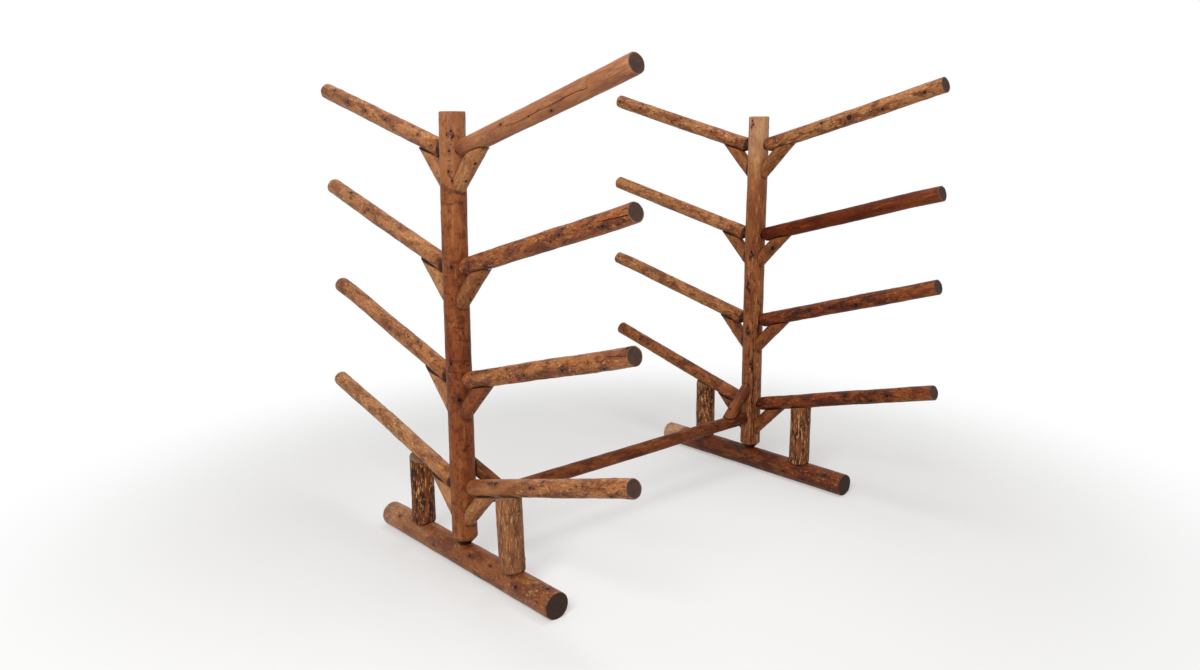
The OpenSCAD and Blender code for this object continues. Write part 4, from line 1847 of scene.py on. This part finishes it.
    def prop_log(self) -> Log:
        """Describes the prop between the base log and the lowest arm."""
        return Log(
            node=f"{self.stem}_prop",
            slot="prop_log",
            finish=PROP_FINISH,
            placement=placed(self.x, self.face.value * self.prop_y, 0),
            start=SIZES.base_crest - SIZES.prop_let,
            end=self.prop_top + SIZES.prop_spare,
            start_r=SIZES.prop_d / 2,
            end_r=SIZES.prop_d / 2,
            reliefs=ROUGH_RELIEF,
            start_bevel=SIZES.prop_bevel,
            sides=112,
            ring=4 * MM,
            mottle=((0.0, self.prop_mottle),),
            soak=((0.0, self.prop_soak),),
            scatter=10.0,
            sway=((0.1, 0.0), (0.4, self.prop_lean)) if self.prop_lean else (),
            mitres=[self.mitre_under(self.prop_seat)],
            end_finish=PROP_END,
        )

    def mortise(self) -> Object:
        """The cutter for the room of the arm's tenon in the post."""
        start, end = SIZES.arm_tip(self.rise) - SIZES.tip_room, SIZES.arm_shoulder(self.rise, self.tier)
        return turned_cutter(self.placement, start, end, SIZES.arm_tenon_d / 2 + SIZES.tenon_fit)

    def tenon_screw(self) -> Object:
        """The hole across the post through the middle of the arm's tenon."""
        place = (SIZES.arm_tip(self.rise) + SIZES.arm_neck(self.rise, self.tier)) / 2
        out, up = place * math.cos(self.rise), place * math.sin(self.rise)
        z = SIZES.tier_z(self.tier)
        seat = SCREWS.cross_seat(SIZES.post_r(z), out)
        placement = placed(self.x + seat, self.face.value * out, z + up, "Y", -90)
        return SCREWS.hole(placement, seat + SCREWS.cross_bite)

    def brace_foot_screw(self) -> Object:
        """The level hole through the brace's foot into the post."""
        z = SIZES.brace_z(self.tier)
        post_r = SIZES.post_r(z)
        seat = post_r + SIZES.brace_d / 2 / math.sin(SIZES.slope) - SCREWS.sink
        placement = placed(self.x, self.face.value * seat, z, "X", self.face.value * 90)
        return SCREWS.hole(placement, seat - post_r + SCREWS.bite)

    def brace_head_screw(self) -> Object:
        """The upright hole through the brace's head into the arm."""
        z = SIZES.brace_z(self.tier)
        axis = z + (self.screw_y - SIZES.post_r(z)) * math.tan(SIZES.slope)
        seat = axis - SIZES.brace_d / 2 / math.cos(SIZES.slope) + SCREWS.sink
        placement = placed(self.x, self.face.value * self.screw_y, seat)
        return SCREWS.hole(placement, axis - seat + SCREWS.bite)

    def prop_toe_screw(self) -> Object:
        """The hole that rises from the prop's outer face into the arm."""
        slope = math.radians(SCREWS.toe_slope)
        along = SIZES.prop_d / 2 / math.cos(slope)
        outer = self.face.value * (self.prop_y + SIZES.prop_d / 2)
        z = self.prop_top - SIZES.prop_d / 2 * math.tan(slope)
        mouth = placed(self.x, outer, z, "X", self.face.value * SCREWS.toe_slope)
        shank_l = along - SCREWS.sink + SCREWS.bite - SIZES.prop_nest
        return SCREWS.hole(mouth @ placed(0, 0, SCREWS.sink), shank_l)

    def prop_foot_screw(self) -> Object:
        """The upright hole through the base log into the prop."""
        return SCREWS.lag_hole(self.x, self.face.value * self.prop_y, SIZES.base_crest - SIZES.prop_let)

    def build(self, post: Log, base: Log) -> None:
        """Builds and hands over the arm, its brace and its prop, and cuts the prop's seat.

        Args:
            post: The post.
            base: The base log, which is modelled.
        """
        arm, brace = self.arm_log(), self.brace_log()
        logs = [arm, brace]
        arm.neighbours += [post, brace]
        brace.neighbours += [post, arm]
        post.neighbours += logs
        for log in logs:
            log.model()
        for cutter in (
            log_cutter(post, SIZES.cope_gap, self.swayed_x - self.x),
            log_cutter(arm, SIZES.cope_gap),
            self.brace_foot_screw(),
            self.brace_head_screw(),
        ):
            cut_away(brace.obj, cutter)
        cut_away(arm.obj, self.tenon_screw(), self.brace_head_screw())
        if self.tier == 1:
            logs.append(self.build_prop(arm, base))
        for log in logs:
            log.hand_over()

    def build_prop(self, arm: Log, base: Log) -> Log:
        """Models the prop and cuts its seat and its screws' holes.

        Args:
            arm: The arm above it.
            base: The base log below it.

        Returns:
            The prop, which isn't dressed yet.
        """
        prop = self.prop_log()
        prop.neighbours += [arm, base]
        arm.neighbours.append(prop)
        base.neighbours.append(prop)
        prop.model()
        for cutter in (log_cutter(arm, SIZES.seat_fit), self.prop_toe_screw(), self.prop_foot_screw()):
            cut_away(prop.obj, cutter)
        cut_away(arm.obj, self.prop_toe_screw())
        seat_r = SIZES.prop_d / 2 + SIZES.prop_room
        cut_away(base.obj, turned_cutter(prop.placement, prop.start, SIZES.cut_top, seat_r))
        cut_away(base.obj, self.prop_foot_screw())
        return prop


@dataclass
class Tree:
    """One tree: a post on a base log, with four arms on each face, their braces and two props.

    Attributes:
        side: Which tree.
        arms: The arms.
        post_finish: Finish of the post.
        post_mottle: Shares of the post's length and how ragged the stain is there.
        post_soak: Shares of the post's length and how deep the stain went in there, partly a painted shadow
            where it is darker.
        base_soak: Shares of the base log's length and how deep the stain went in there; on the left tree its
            paler back end is partly a painted sheen.
        base_l: Length of the base log.
    """

    side: Side
    arms: list[Arm]
    post_finish: PeeledLog = POST_FINISH
    post_mottle: Profile = ((0.0, 0.7),)
    post_soak: Profile = ((0.0, 1.0),)
    base_soak: Profile = ((0.0, 1.0),)
    base_l: float = 1.220

    @property
    def x(self) -> float:
        """Place of the tree along X."""
        return SIZES.tree_x(self.side)

    def post_log(self) -> Log:
        """Describes the post."""
        return Log(
            node=f"{self.side.label}_post",
            slot="post_log",
            finish=self.post_finish,
            placement=placed(self.x, 0, 0),
            start=SIZES.post_shoulder,
            end=SIZES.post_top,
            start_r=SIZES.post_foot_d / 2,
            end_r=SIZES.post_top_d / 2,
            root=Tenon(SIZES.post_neck, SIZES.post_tip, SIZES.post_tenon_d / 2, ease=3 * MM, pale=0.12),
            sides=88,
            ring=8 * MM,
            mottle=self.post_mottle,
            soak=self.post_soak,
            scatter=7.0,
            cone_shade=0.95,
            end_bevel=5 * MM,
            end_finish=POST_END,
            sway=POST_SWAY[self.side],
        )

    def base_log(self) -> Log:
        """Describes the base log."""
        return Log(
            node=f"{self.side.label}_base_log",
            slot="base_log",
            finish=BASE_FINISH,
            placement=placed(self.x, 0, SIZES.base_d / 2 - SIZES.base_flat, "X", -90),
            start=-self.base_l / 2,
            end=self.base_l / 2,
            start_r=SIZES.base_d / 2,
            end_r=SIZES.base_d / 2,
            reliefs=PEELED_RELIEF,
            sides=88,
            ring=8 * MM,
            mottle=((0.0, 0.9), (0.2, 0.8), (0.3, 0.4), (0.75, 0.4), (0.85, 0.9)),
            soak=self.base_soak,
            scatter=9.0,
            end_finish=BASE_END,
        )

    def build(self, low_rail: "LowRail") -> None:
        """Builds and hands over every log of the tree.

        Args:
            low_rail: The rail and its braces, for their holes and for the shade where they meet the post.
        """
        post, base = self.post_log(), self.base_log()
        post.neighbours += [base, low_rail.rail, low_rail.braces[self.side]]
        base.neighbours.append(post)
        for log in (post, base):
            log.model()
        for arm in self.arms:
            arm.build(post, base)
        mortises = [arm.mortise() for arm in self.arms]
        cut_away(post.obj, *mortises, low_rail.mortise(self.side))
        bores = [bore for arm in self.arms for bore in (arm.tenon_screw(), arm.brace_foot_screw())]
        lag_hole = SCREWS.lag_hole(self.x, 0, SIZES.post_tip)
        cut_away(post.obj, *bores, lag_hole, low_rail.tenon_hole(self.side), low_rail.post_hole(self.side))
        self.finish_base(base)
        for log in (post, base):
            log.hand_over()

    def finish_base(self, base: Log) -> None:
        """Cuts the post's mortise in the base log and planes the flat that it lies on.

        Args:
            base: The base log.
        """
        radius, floor = SIZES.post_tenon_d / 2 + SIZES.tenon_fit, SIZES.post_tip - SIZES.tip_room
        cut_away(base.obj, turned_cutter(placed(self.x, 0, 0), floor, SIZES.cut_top, radius))
        cut_away(base.obj, SCREWS.lag_hole(self.x, 0, SIZES.post_tip))
        take(base.obj)
        bpy.ops.object.mode_set(mode="EDIT")
        bpy.ops.mesh.select_all(action="SELECT")
        bpy.ops.mesh.bisect(
            plane_co=(0, 0, 0), plane_no=(0, 0, 1), use_fill=True, clear_inner=True, threshold=1e-6
        )
        bpy.ops.object.mode_set(mode="OBJECT")


@dataclass
class LowRail:
    """The rail that joins the trees, and its two braces.

    Attributes:
        drop: Depth of the rail's axis below the roots of the lowest arms.
        diameter: Diameter of the rail.
        tenon_d: Diameter of its tenons.
        brace_d: Diameter of a rail brace.
        brace_rise: Height above the rail's axis at which a brace's axis meets the post.
        soak: How deep the stain went in, partly as painted shade.
        brace_soak: How deep it went in on the braces.
    """

    drop: float = 0.067
    diameter: float = 0.064
    tenon_d: float = 0.032
    brace_d: float = 0.060
    brace_rise: float = 0.156
    soak: Profile = ((0.0, 1.3),)
    brace_soak: Profile = ((0.0, 1.15),)

    def __post_init__(self) -> None:
        """Describes the rail and its braces."""
        self.z = SIZES.first_tier - self.drop
        self.brace_z = self.z + self.brace_rise
        self.top = self.z + self.diameter / 2
        self.rail = self.rail_log()
        self.braces = {side: self.brace_log(side) for side in Side}

    @property
    def cut_length(self) -> float:
        """Length of a level or upright cut through a rail brace."""
        return self.brace_d / math.sin(SIZES.slope)

    def rail_log(self) -> Log:
        """Describes the rail."""
        tip = SIZES.post_spacing / 2 - SIZES.mortise_web / 2
        neck = SIZES.post_spacing / 2 - SIZES.post_r(self.z) - SIZES.seat_fit
        shoulder = neck - SIZES.shoulder_l(self.diameter, self.tenon_d)
        return Log(
            node="bottom_rail",
            slot="rail_log",
            finish=RAIL_FINISH,
            placement=placed(0, 0, self.z, "Y", 90),
            start=-shoulder,
            end=shoulder,
            start_r=self.diameter / 2,
            end_r=self.diameter / 2,
            root=Tenon(-neck, -tip, self.tenon_d / 2),
            tail=Tenon(neck, tip, self.tenon_d / 2),
            soak=self.soak,
        )

    def brace_log(self, side: Side) -> Log:
        """Describes the rail brace of one side, from inside the post down to the rail's axis."""
        x, z = SIZES.tree_x(side), self.brace_z
        start = SIZES.mortise_web
        top = z + SIZES.post_r(z) - start
        toward_post = Vector((side.value, 0, 0))
        head = Vector((x, 0, z)) - (SIZES.post_r(z) - SIZES.brace_nest) * toward_post
        foot = Vector((x, 0, self.top - SIZES.brace_nest))
        turn = -side.value * (90 + SIZES.brace_slope)
        return Log(
            node=f"{side.label}_rail_brace",
            slot="rail_log",
            finish=RAIL_FINISH,
            placement=placed(x - side.value * start, 0, top, "Y", turn),
            start=0.0,
            end=(top - self.z) / math.sin(SIZES.slope),
            start_r=self.brace_d / 2,
            end_r=self.brace_d / 2,
            ring=6 * MM,
            soak=self.brace_soak,
            scatter=24.0,
            mitres=[Mitre(head, toward_post), Mitre(foot, Vector((0, 0, -1)))],
        )

    def mortise(self, side: Side) -> Object:
        """The cutter for the room of the rail's tenon in a post."""
        placement = placed(SIZES.tree_x(side), 0, self.z, "Y", -side.value * 90)
        inner = SIZES.mortise_web / 2 - SIZES.tip_room
        return turned_cutter(placement, inner, SIZES.post_foot_d, self.tenon_d / 2 + SIZES.tenon_fit)

    def tenon_hole(self, side: Side) -> Object:
        """The hole across the post through the middle of the rail's tenon."""
        x = (SIZES.mortise_web / 2 + SIZES.post_r(self.z)) / 2
        seat = SCREWS.cross_seat(SIZES.post_r(self.z), x)
        placement = placed(side.value * (SIZES.post_spacing / 2 - x), seat, self.z, "X", 90)
        return SCREWS.hole(placement, seat + SCREWS.cross_bite)

    def post_hole(self, side: Side) -> Object:
        """The level hole through the rail brace's head into the post."""
        post_r = SIZES.post_r(self.brace_z)
        seat = post_r + self.cut_length / 2 - SCREWS.sink
        x = side.value * (SIZES.post_spacing / 2 - seat)
        return SCREWS.hole(placed(x, 0, self.brace_z, "Y", side.value * 90), seat - post_r + SCREWS.bite)

    def rail_hole(self, side: Side) -> Object:
        """The upright hole through the rail brace's foot down into the rail."""
        reach = SIZES.post_r(self.brace_z) + (self.brace_z - self.top)
        seat = self.top + self.cut_length / 2 - SCREWS.sink
        placement = placed(side.value * (SIZES.post_spacing / 2 - reach), 0, seat, "X", 180)
        return SCREWS.hole(placement, seat - self.top + SCREWS.bite)

    def build(self, posts: dict[Side, Log]) -> None:
        """Builds and hands over the rail and its braces.

        Args:
            posts: The posts, for the copes.
        """
        self.rail.neighbours += [*self.braces.values(), *posts.values()]
        self.rail.model()
        for side, brace in self.braces.items():
            brace.neighbours += [self.rail, posts[side]]
            brace.model()
            for cutter in (
                log_cutter(posts[side], SIZES.cope_gap),
                log_cutter(self.rail, SIZES.cope_gap),
                self.post_hole(side),
                self.rail_hole(side),
            ):
                cut_away(brace.obj, cutter)
            cut_away(self.rail.obj, self.tenon_hole(side), self.rail_hole(side))
            brace.hand_over()
        self.rail.hand_over()


@dataclass
class Screws:
    """The CAD screws, which are kept as they are and dressed."""

    finish: ZincSteel = ZincSteel()

    def dress(self) -> None:
        """Gives every screw node the plated steel."""
        for name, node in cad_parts.items():
            if "screws" in name:
                node.data.materials.clear()
                node.data.materials.append(self.finish.material)
                LOG.info("%s: kept from the CAD and dressed", name)


@dataclass
class Studio:
    """A pale floor, a white surround and soft lamps.

    Attributes:
        floor_side: Side of the floor.
        floor_colour: sRGB hex colour of the floor.
        near_white: How far the floor is white beside the rack, from 0 to 1.
        white_from: Distance from the rack at which the floor starts to fade to white.
        white_to: Distance at which it is white.
        sky: Strength of the light that comes from all round.
        aim: Height on the rack that the lamps face.
    """

    floor_side: float = 60.0
    floor_colour: str = "#e9e8e6"
    near_white: float = 0.35
    white_from: float = 1.6
    white_to: float = 3.2
    sky: float = 0.28
    aim: float = 0.9

    def build(self) -> None:
        """Makes the floor, the world and the lamps, and sets the view transform."""
        self.make_floor()
        self.make_world()
        self.make_lamp("key", (-4.4, -2.8, 4.0), 2.4, 245.0)
        self.make_lamp("top", (0.2, -0.2, 5.4), 3.2, 118.0)
        self.make_lamp("fill", (4.2, -3.4, 2.4), 2.6, 15.0)
        bpy.context.scene.view_settings.view_transform = "Standard"

    def make_floor(self) -> None:
        """Makes the floor, which fades to white away from the rack and keeps its shadow near it."""
        bpy.ops.object.select_all(action="DESELECT")
        bpy.ops.mesh.primitive_plane_add(size=self.floor_side)
        floor = bpy.context.active_object
        floor.name = "floor"
        made = bpy.data.materials.new("pale_floor")
        add = Nodes(made).add
        place = add("TexCoord", output="Object")
        distance = add("VectorMath", {"Vector": place}, output="Value", operation="LENGTH")
        limits = {"From Min": self.white_from, "From Max": self.white_to, "To Min": self.near_white}
        away = add("MapRange", {"Value": distance, **limits}, interpolation_type="SMOOTHSTEP")
        white = add("Math", {0: self.direct_ray(add), 1: away}, operation="MULTIPLY")
        paint = add("BsdfDiffuse", {"Color": linear(self.floor_colour)})
        glow = add("Emission", {"Color": (1, 1, 1, 1), "Strength": 1.0})
        skin = add("MixShader", {0: white, 1: paint, 2: glow})
        add("OutputMaterial", {"Surface": skin})
        floor.data.materials.append(made)

    def make_world(self) -> None:
        """Makes the surround: white where it is seen, and a soft light where it isn't."""
        world = bpy.data.worlds.new("surround")
        bpy.context.scene.world = world
        add = Nodes(world).add
        limits = {"To Min": self.sky, "To Max": 1.0}
        strength = add("MapRange", {"Value": self.direct_ray(add), **limits})
        back = add("Background", {"Color": (1, 1, 1, 1), "Strength": strength})
        add("OutputWorld", {"Surface": back})

    @staticmethod
    def direct_ray(add: Callable[..., NodeSocket]) -> NodeSocket:
        """A value that is 1 for camera, glossy and transmission rays, and 0 for light that spreads."""
        kinds = ("Camera", "Glossy", "Transmission")
        rays = (add("LightPath", output=f"Is {kind} Ray") for kind in kinds)
        return reduce(lambda a, b: add("Math", {0: a, 1: b}, operation="MAXIMUM"), rays)

    def make_lamp(self, name: str, place: tuple[float, float, float], side: float, watts: float) -> None:
        """Makes one soft square lamp that faces the rack.

        Args:
            name: Name of the lamp.
            place: Its place.
            side: Its side.
            watts: Its power.
        """
        data = bpy.data.lights.new(name, "AREA")
        data.size = side
        data.energy = watts
        lamp = bpy.data.objects.new(name, data)
        bpy.context.scene.collection.objects.link(lamp)
        toward = Vector((0, 0, self.aim)) - Vector(place)
        lamp.matrix_world = Matrix.Translation(place) @ toward.to_track_quat("-Z", "Y").to_matrix().to_4x4()


def left_tree() -> Tree:
    """Describes the near tree of the photograph."""
    side = Side.LEFT
    arms = [
        Arm(
            side, Face.FRONT, 1, rise_deg=15.7, over=-3, mottle=0.8, soak=1.15, clean=0.3, brace_soak=1.05,
            prop_soak=1.05, prop_mottle=0.5, prop_lean=-11 * MM,
        ),
        Arm(side, Face.FRONT, 2, rise_deg=15.3, over=-2, mottle=0.75, soak=1.25, brace_soak=1.6),
        Arm(side, Face.FRONT, 3, rise_deg=15.5, over=2, mottle=0.7, soak=1.45, brace_soak=1.3),
        Arm(side, Face.FRONT, 4, rise_deg=15, over=-5, mottle=0.35, smooth=True),
        Arm(
            side, Face.BACK, 1, rise_deg=14.6, over=25, mottle=0.7, soak=0.95, brace_soak=0.95,
            prop_soak=1.45,
        ),
        Arm(side, Face.BACK, 2, rise_deg=16.4, over=-34, mottle=0.8, soak=1.1, brace_soak=0.95),
        Arm(side, Face.BACK, 3, rise_deg=16.4, over=-14, mottle=0.7, soak=1.05, brace_soak=0.95),
        Arm(side, Face.BACK, 4, rise_deg=15, over=-7, mottle=0.75, soak=1.1),
    ]
    return Tree(
        side,
        arms,
        # Darker through the post's lower and middle parts, partly as a painted shadow
        post_soak=((0.0, 1.3), (0.25, 1.5), (0.5, 1.5), (0.8, 1.3), (0.9, 1.05)),
        # The base log's paler back end is partly a painted sheen
        base_soak=((0.0, 1.1), (0.5, 1.2), (0.85, 0.95), (0.95, 0.8)),
    )


def right_tree() -> Tree:
    """Describes the far tree of the photograph."""
    side = Side.RIGHT
    arms = [
        # The front arms of tiers 1 to 3 are soaked deep along most of their length, partly as a painted
        # shadow that ends towards their tips
        Arm(
            side, Face.FRONT, 1, rise_deg=14.6, over=25, mottle=0.6, soak=1.9, tip_out_of_shade=0.25, brace_soak=1.5,
            prop_soak=1.25,
        ),
        Arm(side, Face.FRONT, 2, rise_deg=16.4, over=21, mottle=0.6, soak=1.9, tip_out_of_shade=0.3, brace_soak=1.45),
        Arm(
            side, Face.FRONT, 3, rise_deg=14.4, over=2, mottle=0.7, soak=1.9, tip_out_of_shade=0.4, brace_soak=1.4,
            smooth=True,
        ),
        Arm(side, Face.FRONT, 4, rise_deg=14.9, over=-17, mottle=0.8, soak=1.08, brace_soak=1.2),
        Arm(side, Face.BACK, 1, rise_deg=15, mottle=0.7, soak=1.4, brace_soak=1.5, prop_soak=1.3),
        Arm(side, Face.BACK, 2, rise_deg=13.6, over=15, mottle=0.8, soak=1.1, brace_soak=1.35),
        Arm(side, Face.BACK, 3, rise_deg=13.5, over=4, mottle=0.7, soak=1.1, brace_soak=1.35),
        Arm(side, Face.BACK, 4, rise_deg=14.3, over=6, mottle=0.85, soak=1.1, brace_soak=1.25),
    ]
    return Tree(
        side,
        arms,
        post_finish=STREAKED_POST_FINISH,
        post_mottle=((0.0, 1.0), (0.5, 0.9), (0.7, 0.4)),
        # Darker through the post's lower and middle parts, partly as a painted shadow
        post_soak=((0.0, 1.2), (0.5, 1.35), (0.8, 1.25), (0.9, 0.8)),
        base_soak=((0.0, 1.5), (0.7, 1.6), (0.88, 1.4), (0.91, 0.6)),
    )


def main() -> None:
    """Builds the rack and its studio."""
    logging.basicConfig(level=logging.INFO, format="%(name)s: %(message)s")
    rail = LowRail()
    trees = [left_tree(), right_tree()]
    rail.build({tree.side: tree.post_log() for tree in trees})
    for tree in trees:
        tree.build(rail)
    Screws().dress()
    Studio().build()
    VIEW.camera()


if __name__ == "__main__":
    main()
